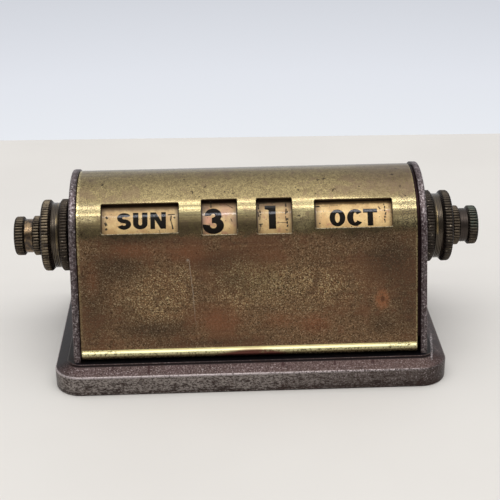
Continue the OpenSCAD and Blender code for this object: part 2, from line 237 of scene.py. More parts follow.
class Shader(Nodes):
    """A material whose colour is laid on shade by shade. Lengths are in millimetres."""

    def __init__(self, name):
        super().__init__(bpy.data.materials.new(name))
        coords = self.add("ShaderNodeTexCoord").outputs["Object"]
        self.place = self.add("ShaderNodeVectorMath", {0: coords, 1: (1 / MM,) * 3},
                              operation="MULTIPLY").outputs[0]
        self.x, self.y, self.z = self.add("ShaderNodeSeparateXYZ", {0: self.place}).outputs
        self.colour = None

    def lay(self, amount, shade, share=None):
        """Lays a shade over the colour so far, by an amount or by a share of it."""
        if share is not None:
            amount = self.times(amount, share)
        self.colour = self.mix(amount, self.colour, shade)

    def noise(self, scale, detail, roughness, seed, stretch=(1.0, 1.0, 1.0)):
        """Noise with about `scale` features a millimetre."""
        where = self.add("ShaderNodeMapping", {0: self.place, 1: (seed, 2 * seed, -seed),
                         3: tuple(scale * s for s in stretch)}).outputs[0]
        return self.add("ShaderNodeTexNoise", {"Vector": where, "Scale": 1.0, "Detail": detail,
                        "Roughness": roughness}).outputs["Fac"]

    def spot(self, centre, size, soft):
        """1 inside an ellipsoid, fading to 0 at its surface."""
        where = self.add("ShaderNodeMapping", {
            0: self.place, 1: tuple(-c / s for c, s in zip(centre, size)),
            3: tuple(1.0 / s for s in size)}).outputs[0]
        reach = self.add("ShaderNodeVectorMath", {0: where}, operation="LENGTH").outputs["Value"]
        return self.mask(reach, 1.0, 1.0 - soft)

    def spots(self, soft, *places):
        """Spots on the hood, each (x, y, z, width, height)."""
        through = 30.0
        return self.most(*[self.spot(p[:3], (p[3], through, p[4]), soft) for p in places])

    def bump(self, height, strength, distance, normal=None):
        inputs = {"Height": height, "Strength": strength, "Distance": distance * MM}
        if normal:
            inputs["Normal"] = normal
        return self.add("ShaderNodeBump", inputs).outputs[0]

    def finish(self, **values):
        shader = self.add("ShaderNodeBsdfPrincipled", {"Base Color": self.colour, **{
            key.replace("_", " "): value for key, value in values.items()}})
        self.add("ShaderNodeOutputMaterial", {0: shader.outputs[0]})
        return self.owner


def aged_brass():
    s = Shader("aged_brass")
    large = s.noise(0.05, 3, 0.6, 3.1)
    middle = s.noise(0.3, 5, 0.66, 7.7)
    grain = s.noise(2.3, 3, 0.75, 1.3)
    speckle = s.noise(1.9, 4, 0.8, 5.5)
    fine = s.noise(3.2, 2, 0.6, 61.0)
    streaks = s.noise(1.0, 3, 0.6, 51.0, (0.05, 2.6, 2.6))
    sparks = s.mask(s.noise(2.7, 2, 0.65, 33.0), 0.56, 0.63)
    dots = s.mask(s.noise(2.5, 2, 0.65, 41.0), 0.44, 0.37)
    # brass on the round top, speckled and browner in places, smooth beside the windows where the
    # lamps' highlight falls
    rubbed_and_sheen = s.both(s.mask(s.z, 43.5, 46.0), s.mask(s.plus(s.z, s.times(middle, 3.0)), 53.6, 51.6))
    tone = s.blend(0.3, s.mask(fine, 0.41, 0.59), s.mask(grain, 0.41, 0.59))
    tone = s.blend(0.28, tone, s.mask(s.noise(0.9, 3, 0.6, 63.0), 0.36, 0.64))
    tone = s.blend(s.times(rubbed_and_sheen, 0.5), tone, 0.62)
    s.colour = s.mix(tone, (0.128, 0.092, 0.048), (0.372, 0.298, 0.15))
    # painted highlight: paler, yellower brass laid in the band where the lamps' highlight falls
    shine = s.both(rubbed_and_sheen, s.both(s.mask(s.z, 47.0, 48.2), s.mask(s.z, 51.4, 50.4)))
    s.lay(shine, (0.345, 0.304, 0.166), s.mask(fine, 0.36, 0.56, 0.8))
    s.lay(s.both(rubbed_and_sheen, s.mask(streaks, 0.56, 0.42, 0.5)), (0.16, 0.122, 0.064))
    # paler rubbed places at the sheet's ends and left of the month's window
    pale = s.spots(0.8, (45.5, -14.0, 45.1, 6.0, 2.2), (15.5, -14.0, 45.6, 4.2, 3.6),
                   (-46.0, -14.0, 47.2, 4.0, 0.9))
    s.lay(s.times(pale, s.mask(grain, 0.38, 0.56)), (0.7, 0.59, 0.32), 0.85)
    s.lay(s.mask(s.shake(middle, large, 0.8), 0.5, 0.66, 0.6), (0.195, 0.137, 0.085))
    east = s.both(s.mask(s.x, 22.0, 42.0), s.mask(s.z, 50.0, 53.0))
    s.lay(s.both(east, s.mask(fine, 0.38, 0.62, 0.86)), (0.18, 0.122, 0.088))
    # coarse dark grain towards the sheet's ends
    rims = s.plus(s.mask(s.x, 42.6, 44.2, 0.95), s.mask(s.x, -43.5, -46.0, 0.55))
    s.lay(s.both(rims, s.mask(s.z, 54.0, 50.0), s.mask(fine, 0.53, 0.42)), (0.12, 0.092, 0.06))
    # brown patina over the faces, under the windows' row
    top = s.colour
    s.colour = s.mix(s.mask(speckle, 0.34, 0.66), (0.1, 0.056, 0.034), (0.36, 0.222, 0.12))
    s.lay(s.mask(s.noise(0.75, 3, 0.7, 21.0), 0.46, 0.64, 0.24), (0.11, 0.072, 0.044))
    s.lay(sparks, (0.68, 0.49, 0.27), 0.42)
    s.lay(dots, (0.04, 0.027, 0.02), 0.55)
    brushed = s.both(s.mask(streaks, 0.55, 0.42), s.mask(large, 0.42, 0.6, 0.55))
    s.lay(brushed, (0.105, 0.064, 0.045))
    s.lay(s.mask(s.shake(middle, large, 1.2), 0.46, 0.62, 0.55), (0.225, 0.11, 0.062))
    face = s.mask(s.shake(s.z, middle, 7.0), 43.8, 41.6)
    s.colour = s.mix(face, top, s.colour)
    # clouds of gold and green speckle on the front
    clouds = s.spots(0.9, (-27.0, -24.0, 26.0, 15.0, 11.5), (-3.0, -24.0, 28.0, 13.0, 11.0),
                     (-19.5, -24.0, 29.5, 7.0, 8.0), (17.0, -24.0, 28.0, 22.0, 10.0))
    clouds = s.both(clouds, s.mask(middle, 0.34, 0.6))
    gold = s.mask(s.blend(0.5, speckle, fine), 0.49, 0.57)
    s.lay(s.both(clouds, gold), (0.7, 0.495, 0.24), 0.68)
    s.lay(s.both(clouds, sparks), (1.0, 0.84, 0.47))
    s.lay(s.both(clouds, dots), (0.042, 0.03, 0.02), 0.9)
    s.lay(s.both(s.spots(0.9, (2.0, -24.0, 30.0, 13.0, 8.0)), gold), (0.44, 0.4, 0.19), 0.4)
    # dark and red patches, with how strong each is
    for *place, amount in (
            (-38.0, -22.0, 34.5, 13.0, 8.0, 0.8), (-8.0, -22.0, 35.5, 16.0, 4.5, 0.55),
            (41.5, -22.0, 35.5, 13.0, 11.5, 0.85), (38.5, -26.0, 16.5, 6.5, 5.0, 0.7),
            (-5.0, -24.0, 30.0, 9.0, 5.0, 0.55), (-45.0, -24.0, 24.0, 7.5, 16.0, 0.62),
            (-35.5, -24.0, 21.0, 8.0, 7.0, 0.35), (46.0, -24.0, 22.0, 8.0, 14.0, 0.65),
            (-28.0, -26.0, 16.6, 16.0, 4.2, 0.9), (-14.0, -26.0, 12.6, 30.0, 1.8, 0.6),
            (-34.0, -18.0, 42.0, 16.0, 3.6, 0.75), (31.0, -18.0, 42.0, 14.0, 3.4, 0.75)):
        dark = s.both(s.spots(0.95, place), s.mask(speckle, 0.36, 0.56, amount))
        s.lay(dark, (0.07, 0.052, 0.036))
    for *place, amount in (
            (18.5, -25.0, 17.2, 7.5, 4.4, 0.95), (8.5, -25.0, 18.6, 8.0, 3.4, 0.6),
            (38.2, -24.0, 23.5, 2.9, 3.6, 0.8), (-9.0, -25.0, 19.0, 11.0, 6.0, 0.68),
            (-33.0, -21.0, 39.0, 12.0, 3.4, 0.66), (-18.0, -21.0, 37.8, 10.0, 4.2, 0.62),
            (8.0, -21.0, 37.0, 10.0, 4.0, 0.25), (-45.0, -23.0, 31.0, 3.0, 7.0, 0.45)):
        broken = s.blend(s.mask(fine, 0.58, 0.42), amount * 0.9, amount * 0.35)
        s.lay(s.spots(0.95, place), (0.34, 0.14, 0.072), broken)
    calm = s.mask(large, 0.44, 0.58)
    s.lay(s.both(face, sparks, s.blend(calm, 0.26, 0.1)), (0.56, 0.44, 0.3))
    s.lay(s.both(face, dots, s.blend(calm, 0.4, 0.16)), (0.034, 0.024, 0.018))
    # rust ring at the right, and the dark hearts of two rust spots
    ring = s.spots(0.5, (38.2, -24.0, 23.5, 2.7, 3.5))
    s.lay(s.both(ring, s.mask(fine, 0.34, 0.56, 0.55)), (0.48, 0.2, 0.092))
    hearts = s.most(s.spots(0.6, (38.3, -24.0, 23.7, 0.9, 1.2)),
                    s.both(s.spots(0.8, (19.0, -25.0, 16.2, 4.6, 1.8)),
                           s.mask(grain, 0.56, 0.44)))
    s.lay(hearts, (0.105, 0.05, 0.032), 0.7)
    # painted shade on the windows' cut edges and the sheet's underside, with a painted highlight on
    # the lower cut edges
    radius = s.hypot(s.y, s.plus(s.z, -AXIS))
    above = s.mask(s.z, AXIS, AXIS + 2.0)
    low = s.both(s.mask(s.z, 44.3, 44.1), s.mask(grain, 0.4, 0.56, 0.62))
    s.lay(s.both(s.mask(radius, HOOD_R - 0.01, HOOD_R - 0.05), above),
          s.mix(low, (0.08, 0.052, 0.03), (0.7, 0.62, 0.42)))
    s.lay(s.both(s.mask(radius, HOOD_R - 0.2, HOOD_R - 0.3), above), (0.05, 0.034, 0.022))
    pits = s.mask(s.noise(0.62, 2, 0.5, 12.0), 0.685, 0.73)
    s.lay(pits, (0.045, 0.03, 0.02), s.blend(face, 0.85, 0.35))
    # bright brass where hands rub it: the sheet's ends and the bead, whose lower side is painted
    # shade
    ends = s.both(s.near(s.x, -0.15, 47.9, 48.5), s.mask(grain, 0.44, 0.56, 0.9),
                  s.other(s.both(s.mask(s.x, 40.0, 44.0), s.mask(s.z, 44.0, 47.0, 0.7))),
                  s.other(s.both(s.mask(s.x, -40.0, -44.0), s.mask(s.z, 40.0, 30.0, 0.7))))
    s.lay(ends, (0.62, 0.52, 0.26))
    sheet = s.colour
    down = s.plus(s.z, -BEAD_Z)
    bits = s.noise(1.6, 3, 0.75, 9.0)
    # the bead: clean brass on its upper side, dark olive on its lower side as painted shade
    s.colour = s.mix(s.mask(down, 0.55, 0.05), (0.79, 0.735, 0.42), (0.2, 0.155, 0.078))
    s.lay(s.both(s.mask(bits, 0.52, 0.6), s.mask(down, -0.1, -0.5)), (0.52, 0.43, 0.26))
    flecks = s.most(s.both(s.mask(bits, 0.5, 0.41), s.mask(down, 1.1, 0.5)),
                    s.both(s.mask(bits, 0.47, 0.4), s.mask(s.size(s.x), 33.0, 44.0)))
    s.lay(flecks, (0.09, 0.064, 0.034), 0.9)
    worn = s.both(s.spot((0.3, -BEAD_F, BEAD_Z - 1.1), (12.5, 6.0, 2.6), 0.3),
                  s.mask(s.plus(middle, s.times(bits, 0.9)), 0.74, 0.86))
    s.lay(worn, (0.15, 0.05, 0.042), 0.95)
    reach = s.hypot(s.plus(s.size(s.y), -BEAD_F), down)
    bead = s.mask(reach, BEAD_R + 0.18, BEAD_R + 0.08)
    s.colour = s.mix(bead, sheet, s.colour)
    # thin scratch with a nick at its top
    path = s.shake(s.plus(s.x, s.times(s.z, 0.075)), middle, 0.8)
    scratch = s.both(s.near(path, -14.4, 0.14, 0.04),
                     s.both(s.mask(s.z, 14.0, 26.0), s.mask(s.z, 36.5, 35.5)),
                     s.mask(s.y, -10.0, -12.0))
    nick = s.spot((-17.6, -20.0, 36.0), (0.5, 4.0, 0.5), 0.6)
    s.lay(s.most(scratch, nick), (0.6, 0.53, 0.42), 0.5)
    rough = s.blend(face, s.blend(grain, 0.15, 0.28), s.blend(speckle, 0.3, 0.5))
    rough = s.blend(s.times(rubbed_and_sheen, s.other(face)), rough, s.blend(grain, 0.13, 0.21))
    rough = s.blend(bead, rough, 0.42)
    calm = s.most(bead, s.times(rubbed_and_sheen, 0.8))
    normal = s.bump(grain, s.blend(calm, 0.3, 0.04), 0.03)
    normal = s.bump(streaks, s.times(rubbed_and_sheen, 0.12), 0.03, normal)
    normal = s.bump(middle, s.blend(bead, 0.25, 0.05), 0.12, normal)
    return s.finish(Metallic=1.0, Roughness=rough, Normal=normal)


def tray_shades(s, middle, grain):
    """Greyer rim, border with dark seam and ends; painted shade on rim foot, side bevels, flat top.
    """
    s.lay(s.mask(s.x, -20.0, 50.0, 0.5), s.mix(0.5, s.colour, (0.1, 0.06, 0.045)))
    border = s.colour
    streaks = s.noise(2.0, 4, 0.78, 11.0, (0.6, 1.0, 1.0))
    s.colour = s.mix(s.mask(streaks, 0.4, 0.58), (0.066, 0.052, 0.048), (0.3, 0.268, 0.25))
    s.lay(s.mask(s.x, -5.0, 40.0, 0.66), (0.062, 0.045, 0.041))
    s.lay(s.mask(s.x, 44.0, 54.0, 0.62), (0.034, 0.023, 0.022))
    flecks = s.mask(s.noise(2.2, 2, 0.6, 73.0), 0.6, 0.66)
    s.lay(s.both(flecks, s.mask(s.x, -30.0, 40.0)), (0.36, 0.305, 0.31), 0.7)
    # painted shade low on the rim, stronger and taller towards the right
    foot = s.blend(s.mask(s.x, -10.0, 30.0), s.mask(s.z, 1.6, 0.5), s.mask(s.z, 3.2, 0.9))
    s.lay(s.both(foot, s.mask(streaks, 0.62, 0.46, 0.75)), (0.04, 0.027, 0.024))
    dirt = s.mask(s.noise(0.55, 4, 0.75, 23.0, (0.55, 1.0, 1.5)), 0.53, 0.6)
    s.lay(s.both(dirt, s.mask(s.z, 5.0, 3.6)), (0.034, 0.022, 0.02), 0.8)
    s.lay(s.both(s.near(s.z, 1.0, 0.35, 0.1, 0.7), s.mask(middle, 0.4, 0.52)),
          (0.04, 0.028, 0.026))
    s.colour = s.mix(s.mask(s.z, 6.3, 5.7), border, s.colour)
    # painted shade on the left side bevel beside the end plate
    left_bevel_shade = s.both(s.mask(s.x, -51.0, -53.5), s.mask(s.y, -31.0, -25.0))
    s.lay(left_bevel_shade, (0.012, 0.01, 0.011), 0.92)
    # painted shade on the right side bevel beside the end plate
    east = s.both(s.mask(s.x, 50.5, 53.0), s.mask(s.y, -32.0, -24.0), s.mask(s.x, 57.0, 55.8),
                  s.mask(middle, 0.3, 0.55))
    s.lay(east, (0.02, 0.012, 0.013), 0.75)
    step = s.mask(s.z, 7.42, 7.55)
    s.lay(s.both(step, s.mask(s.z, 8.06, 7.96)), (0.03, 0.022, 0.022))
    s.lay(s.both(step, s.near(s.x, -3.0, 22.0, 8.0)), (0.03, 0.022, 0.022), 0.6)
    # painted shade: the flat top under the bead laid near black, bluish black beside the end plates
    plateau_shade = s.mask(s.z, 8.15, 8.185)
    s.lay(plateau_shade, (0.046, 0.042, 0.041))
    s.lay(s.both(plateau_shade, s.mask(s.size(s.x), 50.9, 50.4)), (0.013, 0.012, 0.016))
    # light on the fold around the plateau's front corner at the right
    fold = s.both(s.near(s.plus(s.x, s.times(s.y, -0.16)), 57.0, 0.5, 0.15),
                  s.both(s.mask(s.y, -31.0, -29.0), s.mask(s.y, -12.0, -18.0)),
                  s.both(s.mask(s.x, 50.0, 51.5), s.mask(grain, 0.42, 0.55, 0.64)),
                  s.mask(s.z, 6.3, 6.8))
    s.lay(fold, (0.64, 0.57, 0.57))


def tray_edge(s, grain):
    """Stains on the border and a painted highlight on the edge above the rim."""
    stains = s.spot((-29.6, -31.5, 7.0), (0.5, 4.0, 1.5), 0.5)
    for where, wide in ((-40.0, 0.6), (-12.0, 0.4), (9.0, 0.8), (24.0, 0.5), (35.0, 0.7)):
        stains = s.most(stains, s.spot((where, -31.0, 7.2), (wide, 4.0, 0.6), 0.7))
    s.lay(stains, (0.035, 0.016, 0.016), 0.75)
    # painted highlight along the rounded edge above the rim
    edge = s.both(s.mask(s.z, 5.45, 5.65), s.mask(s.z, 6.1, 5.95))
    edge = s.both(edge, s.mask(grain, 0.36, 0.5, 0.9), s.other(s.mask(s.x, 42.0, 53.0, 0.8)),
                  s.other(s.both(s.mask(s.x, -10.0, 30.0), s.mask(grain, 0.56, 0.44))))
    s.lay(edge, (0.55, 0.48, 0.48))


def plate_shades(s, middle):
    """Painted shade beside the brass and near black inside, light on the band's ridge, flecked."""
    dark = (0.035, 0.024, 0.026)
    out = s.size(s.x)
    front = s.mask(s.y, 8.0, 4.0)
    # painted shade on the band next to the groove beside the brass
    s.lay(s.both(front, s.mask(out, 49.9, 49.4, 0.55)), dark)
    ridge = s.both(s.near(out, 50.45, 0.45, 0.15), front, s.mask(middle, 0.4, 0.58, 0.22))
    s.lay(ridge, (0.48, 0.42, 0.44))
    flecks = s.noise(1.7, 2, 0.6, 71.0)
    s.lay(s.mask(flecks, 0.41, 0.33, 0.75), (0.034, 0.024, 0.026))
    s.lay(s.mask(flecks, 0.61, 0.68, 0.6), (0.64, 0.58, 0.6))
    # painted shade: the ledge and inside of the plate laid near black
    s.lay(s.near(s.x, 0.1, 49.35, 49.15), (0.022, 0.01, 0.011))


def tarnished_steel(name, purple, grey, tray=False):
    """Nickelled steel, dulled and pitted."""
    s = Shader(name)
    middle = s.noise(0.45, 4, 0.68, 4.4)
    grain = s.noise(2.3 if tray else 1.8, 3, 0.78, 6.1)
    plain = s.mix(s.mask(s.noise(0.1, 3, 0.6, 2.2), 0.35, 0.65), purple, grey)
    dark = s.mix(0.72, plain, (0.022, 0.014, 0.014))
    light = s.mix(0.4 if tray else 0.9, plain, (0.6, 0.54, 0.54))
    s.colour = s.mix(s.mask(grain, 0.4, 0.52), dark, plain)
    s.lay(s.mask(grain, 0.55, 0.66), light)
    if tray:
        tray_shades(s, middle, grain)
    else:
        plate_shades(s, middle)
    s.lay(s.mask(middle, 0.58, 0.66), (0.04, 0.028, 0.027), 0.45)
    rust = s.both(s.mask(s.noise(0.28, 4, 0.7, 8.8), 0.55, 0.66), s.mask(grain, 0.35, 0.6))
    s.lay(rust, (0.05, 0.026, 0.02), 0.6)
    if tray:
        tray_edge(s, grain)
    normal = s.bump(middle, 0.4, 0.1, s.bump(grain, 0.4, 0.03))
    return s.finish(Metallic=0.9, Roughness=s.blend(grain, 0.3, 0.55), Normal=normal)


def dark_bronze():
    s = Shader("dark_bronze")
    middle = s.noise(0.45, 4, 0.6, 3.3)
    grain = s.noise(1.8, 4, 0.72, 2.5)
    rings = s.noise(1.0, 3, 0.7, 8.0, (5.0, 0.05, 0.05))
    radius = s.hypot(s.y, s.plus(s.z, -AXIS))
    out = s.size(s.x)
    s.colour = s.mix(s.mask(grain, 0.36, 0.64), (0.026, 0.021, 0.018), (0.056, 0.044, 0.036))
    # rubbed ridges of the knurls, lightest on the left outer rim, dark on the right large knob
    ridges = s.most(s.mask(radius, 10.4, 10.6),
                    s.both(s.mask(radius, 5.62, 5.82), s.mask(radius, 6.3, 6.1)))
    right = s.mask(s.x, 0.0, 1.0)
    right_large = s.both(right, s.mask(s.x, 61.4, 61.0))
    rub = s.plus(s.mask(out, 55.0, 58.0, 0.18), s.mask(s.x, -57.0, -58.0, 0.42))
    rub = s.times(s.plus(rub, 0.08), s.mask(middle, 0.3, 0.6))
    rub = s.times(rub, s.other(s.mask(s.x, -61.2, -61.6, 0.35)))
    rub = s.times(rub, s.other(s.times(right_large, 0.45)))
    s.lay(right_large, (0.02, 0.017, 0.016), 0.5)
    s.lay(s.both(ridges, rub), (0.33, 0.26, 0.17))
    nicks = s.both(ridges, s.mask(s.noise(1.3, 2, 0.6, 29.0), 0.64, 0.72, 0.7))
    s.lay(nicks, (0.42, 0.36, 0.28))
    # turning lines in the waists
    neck = s.mask(radius, 5.2, 5.1)
    waist = s.both(s.mask(radius, 9.95, 9.8), s.mask(radius, 9.2, 9.5))
    small = s.both(neck, s.mask(s.x, -62.0, -62.4))
    smooth = s.most(waist, small)
    s.lay(smooth, (0.085, 0.07, 0.055))
    s.lay(s.both(neck, s.mask(out, 62.6, 62.8), 0.7), (0.06, 0.048, 0.042))
    s.lay(s.both(waist, s.mask(rings, 0.52, 0.64, 0.45)), (0.2, 0.155, 0.1))
    # gold line in the large waists; on the right knob it is laid only round the height where the
    # lamps' highlight falls, a painted glint
    line = s.both(s.near(out, 55.9, 0.3, 0.08),
                  s.mask(s.noise(0.25, 3, 0.6, 17.0), 0.42, 0.58, 0.6))
    painted_glint = s.near(s.z, AXIS + 3.5, 6.0, 1.0, 2.2)
    s.lay(s.both(line, s.blend(right, 0.7, painted_glint), waist), (0.46, 0.35, 0.175))
    s.lay(s.both(small, s.mask(middle, 0.4, 0.62, 0.7)), (0.35, 0.236, 0.128))
    # painted shade in the gap beside the end plates, green on the outer end at the right
    s.lay(s.mask(out, 52.9, 52.6), (0.01, 0.008, 0.008))
    green = s.both(s.mask(s.x, 66.2, 66.8), s.mask(s.z, 36.0, 38.5), s.mask(grain, 0.3, 0.6, 0.75))
    s.lay(green, (0.072, 0.094, 0.08))
    return s.finish(Metallic=0.95, Roughness=s.blend(smooth, s.blend(grain, 0.3, 0.48), 0.24),
                    Normal=s.bump(grain, s.blend(smooth, 0.25, 0.06), 0.02))


def turned_metal(name, light, dark, roughness):
    """Plain machined metal with fine rings around X."""
    s = Shader(name)
    rings = s.noise(1.0, 2, 0.6, 1.0, (6.0, 0.1, 0.1))
    spots = s.noise(0.5, 4, 0.6, 5.0)
    s.colour = s.mix(s.mask(spots, 0.35, 0.7), light, dark)
    s.lay(s.mask(rings, 0.4, 0.6, 0.35), dark)
    return s.finish(Metallic=1.0, Roughness=s.blend(spots, roughness - 0.08, roughness + 0.1),
                    Normal=s.bump(rings, 0.2, 0.02))


def aged_paper(name, seed, stains, tone, shine, window, patches):
    """Varnished paper. Around the window that it stood behind for years, a painted shadow falls
    under the top edge and painted shade with grime lies along the sides. window is (left, right,
    height of the dark edge, its depth); patches are (x, z, size, colour, amount)."""
    s = Shader(name)
    large = s.noise(0.35, 4, 0.6, seed)
    fibres = s.noise(2.2, 3, 0.65, seed + 2.0)
    s.colour = s.mix(s.mask(large, 0.38, 0.62), (0.8, 0.56, 0.245), (0.65, 0.405, 0.165))
    s.lay(s.mask(fibres, 0.5, 0.75, 0.45), (0.36, 0.22, 0.1))
    blot = s.mask(s.noise(0.42, 3, 0.6, seed + 5.0), 0.6 - stains, 0.72 - stains)
    s.lay(blot, (0.5, 0.215, 0.13), 0.7)
    for x, z, size, shade, amount in patches:
        patch = s.spot((x, -13.0, z), (size, 6.0, size * 0.8), 0.8)
        s.lay(s.both(patch, s.mask(large, 0.3, 0.45)), shade, amount)
    s.lay(s.mask(s.noise(1.6, 2, 0.5, seed + 9.0), 0.67, 0.72), (0.1, 0.06, 0.035))
    s.colour = s.mix(1.0, s.colour, (tone, tone, tone), "MULTIPLY")
    left, right, high, depth = window
    inside = s.mask(s.y, -8.0, -10.0)
    front = s.mask(s.y, -6.0, -8.0)
    # painted shade with some grime along the window's sides
    side_grime_and_shade = s.most(s.mask(s.x, left + 2.0, left + 0.4, 0.5),
                   s.mask(s.x, right - 1.5, right - 0.4, 0.45))
    s.lay(s.both(side_grime_and_shade, inside), (0.23, 0.14, 0.065))
    # thin dark lines at the window's side edges: painted shade with some grime
    edge_grime_and_shade_lines = s.most(s.mask(s.x, left + 0.45, left + 0.15, 0.85),
                   s.mask(s.x, right - 0.4, right - 0.1, 0.85))
    s.lay(s.both(edge_grime_and_shade_lines, inside), (0.04, 0.024, 0.012))
    # painted shadow under the window's top edge: a brown fall-off below a near-black band at the
    # edge
    uneven = s.shake(s.z, large, 0.8)
    s.lay(s.both(s.mask(uneven, high - depth - 0.7, high - 0.45, 0.75), front),
          (0.13, 0.064, 0.024))
    s.lay(s.both(s.mask(s.z, high - 0.4, high + 0.05, 0.95), front), (0.026, 0.014, 0.008))
    matt = s.most(s.both(s.mask(s.z, high - 2.2, high - 1.6), front), edge_grime_and_shade_lines)
    return s.finish(Roughness=s.blend(fibres, 0.4, 0.55), Coat_Weight=s.times(s.other(matt), shine),
                    Coat_Roughness=0.05, Normal=s.bump(fibres, 0.2, 0.03),
                    Coat_Normal=s.bump(fibres, 0.12, 0.03))


def printed_ink():
    s = Shader("printed_ink")
    wear = s.noise(1.8, 3, 0.7, 4.0)
    s.colour = s.mix(s.mask(wear, 0.6, 0.74), (0.006, 0.0035, 0.0015), (0.036, 0.027, 0.02))
    # painted highlight: a lighter streak across the letters where the front lamp's reflection falls
    # at rest
    rubbed_and_sheen = s.both(s.near(s.z, 47.1, 0.4, 0.15), s.mask(s.y, -8.0, -10.0),
                    s.mask(wear, 0.36, 0.52))
    s.lay(rubbed_and_sheen, (0.2, 0.205, 0.23), 0.8)
    return s.finish(Roughness=0.7, Specular_IOR_Level=0.1, Coat_Weight=0.15,
                    Coat_Roughness=0.03, Normal=s.bump(wear, 0.3, 0.04),
                    Coat_Normal=s.bump(wear, 0.25, 0.04))


def faded_ink():
    s = Shader("faded_ink")
    wear = s.mask(s.noise(1.4, 3, 0.7, 6.0), 0.4, 0.62)
    s.colour = s.mix(wear, (0.034, 0.028, 0.02), (0.16, 0.118, 0.068))
    return s.finish(Roughness=0.7, Specular_IOR_Level=0.2)


def pasteboard():
    s = Shader("pasteboard")
    fibres = s.noise(1.2, 4, 0.7, 3.0, (0.35, 1.0, 1.0))
    s.colour = s.mix(s.mask(fibres, 0.3, 0.7), (0.25, 0.18, 0.115), (0.37, 0.285, 0.19))
    s.lay(s.mask(s.noise(0.06, 3, 0.6, 6.0), 0.5, 0.75, 0.5), (0.16, 0.11, 0.07))
    return s.finish(Roughness=0.85, Normal=s.bump(fibres, 0.4, 0.06))


BRASS = aged_brass()
TRAY = tarnished_steel("tray_nickel", (0.112, 0.075, 0.072), (0.1, 0.069, 0.063), tray=True)
PLATE = tarnished_steel("plate_nickel", (0.142, 0.104, 0.109), (0.13, 0.108, 0.106))
BRONZE = dark_bronze()
SHAFT = turned_metal("turned_brass", (0.62, 0.48, 0.24), (0.32, 0.23, 0.11), 0.34)
SPINDLE = turned_metal("turned_steel", (0.5, 0.48, 0.46), (0.26, 0.24, 0.23), 0.34)
TIN = turned_metal("drum_tin", (0.5, 0.49, 0.46), (0.3, 0.28, 0.26), 0.42)
INK = printed_ink()
FADED = faded_ink()
CARD = pasteboard()

# ---------------------------------------------------------------- hood

HOOD_LEFT = 49.12
HOOD_RIGHT = 48.5
SHEET_R = 0.3        # corners of the sheet
WINDOW_R = 0.4
CHAMFER = 0.18
CLEAR = 0.45         # points inside the sheet keep this far from the windows
FACE_ROWS, TOP_ROWS = 6, 74     # rows of points on one leaning face and over the round top
COLUMNS, COLUMN = 44, 2.2       # columns of points along the sheet, and their spacing
ROUND_STEP, LONG_STEP = 0.66, 2.4     # spacing of points on edges round the hood and along it
# distance from the row's middle, width and height of each window, and its middle's height angle
WINDOWS = [(-41.55, 22.0, 8.8, 37.1), (-12.95, 10.1, 10.3, 37.0), (2.8, 10.1, 10.4, 36.8),
           (19.45, 22.2, 8.35, 37.2)]
# length of the line over the round top, and of the whole line from the front to the back bead
TOP = HOOD_R * math.radians(180 - 2 * LEAN)
LINE = 2 * FACE + TOP


def flip(items, when):
    """The items, the other way round when asked."""
    return list(reversed(items)) if when else items


def hood_point(s, depth=0.0):
    """Point (y, z) at distance s along the hood's line and depth below it, and the normal there
    as (y, z)."""
    side = 1 if s > LINE / 2 else -1
    if side > 0:
        s = LINE - s
    a = LEAN + math.degrees(max(s - FACE, 0.0) / HOOD_R)
    down = max(FACE - s, 0.0)
    return (side * ((HOOD_R - depth) * cos(a) + down * sin(LEAN)),
            AXIS + (HOOD_R - depth) * sin(a) - down * cos(LEAN), (side * cos(a), sin(a)))


def box_outline(x0, x1, s0, s1, r, grow):
    """Closed outline of a rectangle with rounded corners, in (x, s), counterclockwise, widened
    by grow. The number of points does not depend on grow."""
    counts = [max(1, round(span / step))
              for span, step in ((s1 - s0 - 2 * r, ROUND_STEP), (x1 - x0 - 2 * r, LONG_STEP))]
    corners = [arc(cx, cs, r + grow, a, a + 90, 5) for cx, cs, a in (
        (x1 - r, s0 + r, -90), (x1 - r, s1 - r, 0), (x0 + r, s1 - r, 90), (x0 + r, s0 + r, 180))]
    outline = []
    for i, corner in enumerate(corners):
        a, b, n = corner[-1], corners[(i + 1) % 4][0], counts[i % 2]
        outline += corner + [(a[0] + (b[0] - a[0]) * k / n, a[1] + (b[1] - a[1]) * k / n)
                             for k in range(1, n)]
    return outline


def inside(loop, x, y):
    """Whether a point lies inside a closed loop."""
    result = False
    for i, (x0, y0) in enumerate(loop):
        x1, y1 = loop[(i + 1) % len(loop)]
        if (y0 > y) != (y1 > y) and x < x0 + (y - y0) / (y1 - y0) * (x1 - x0):
            result = not result
    return result


def shading(x, z, normal):
    """Normal of the sheet, leaned along its upper part by the sheet's slight unevenness."""
    ny, nz = normal
    reach = min(1.0, max(0.0, (abs(x) - 24.0) / 20.0))
    wave = -1.1 + 2.9 * reach * reach * (3 - 2 * reach) if z > AXIS + 6.0 else 0.0
    way = 1 if ny > 0 else -1
    a = math.degrees(math.atan2(nz, way * ny)) + wave
    return (0.0, way * cos(a), sin(a))


def bead(build, cy):
    """Rolled edge along X, open at its ends."""
    hollow, bevel, deep = BEAD_R - 0.5, 0.1, 1.2
    x0, x1 = 0.35 - HOOD_LEFT, HOOD_RIGHT - 0.3
    profile = [(hollow, x0 + deep), (hollow, x0), (BEAD_R - bevel, x0), (BEAD_R, x0 + bevel),
               (BEAD_R, x1 - bevel), (BEAD_R - bevel, x1), (hollow, x1), (hollow, x1 - deep)]
    angles = [10.0 * i for i in range(36)]
    rows = [build.loop([(x, cy + r * cos(a), BEAD_Z + r * sin(a)) for a in angles])
            for r, x in profile]
    # the grid's fourth strip is the round surface
    build.radial(len(build.faces) + 3 * len(angles), angles)
    build.grid(rows, closed_cols=True)
    build.face(reversed(rows[0]))
    build.face(rows[-1])


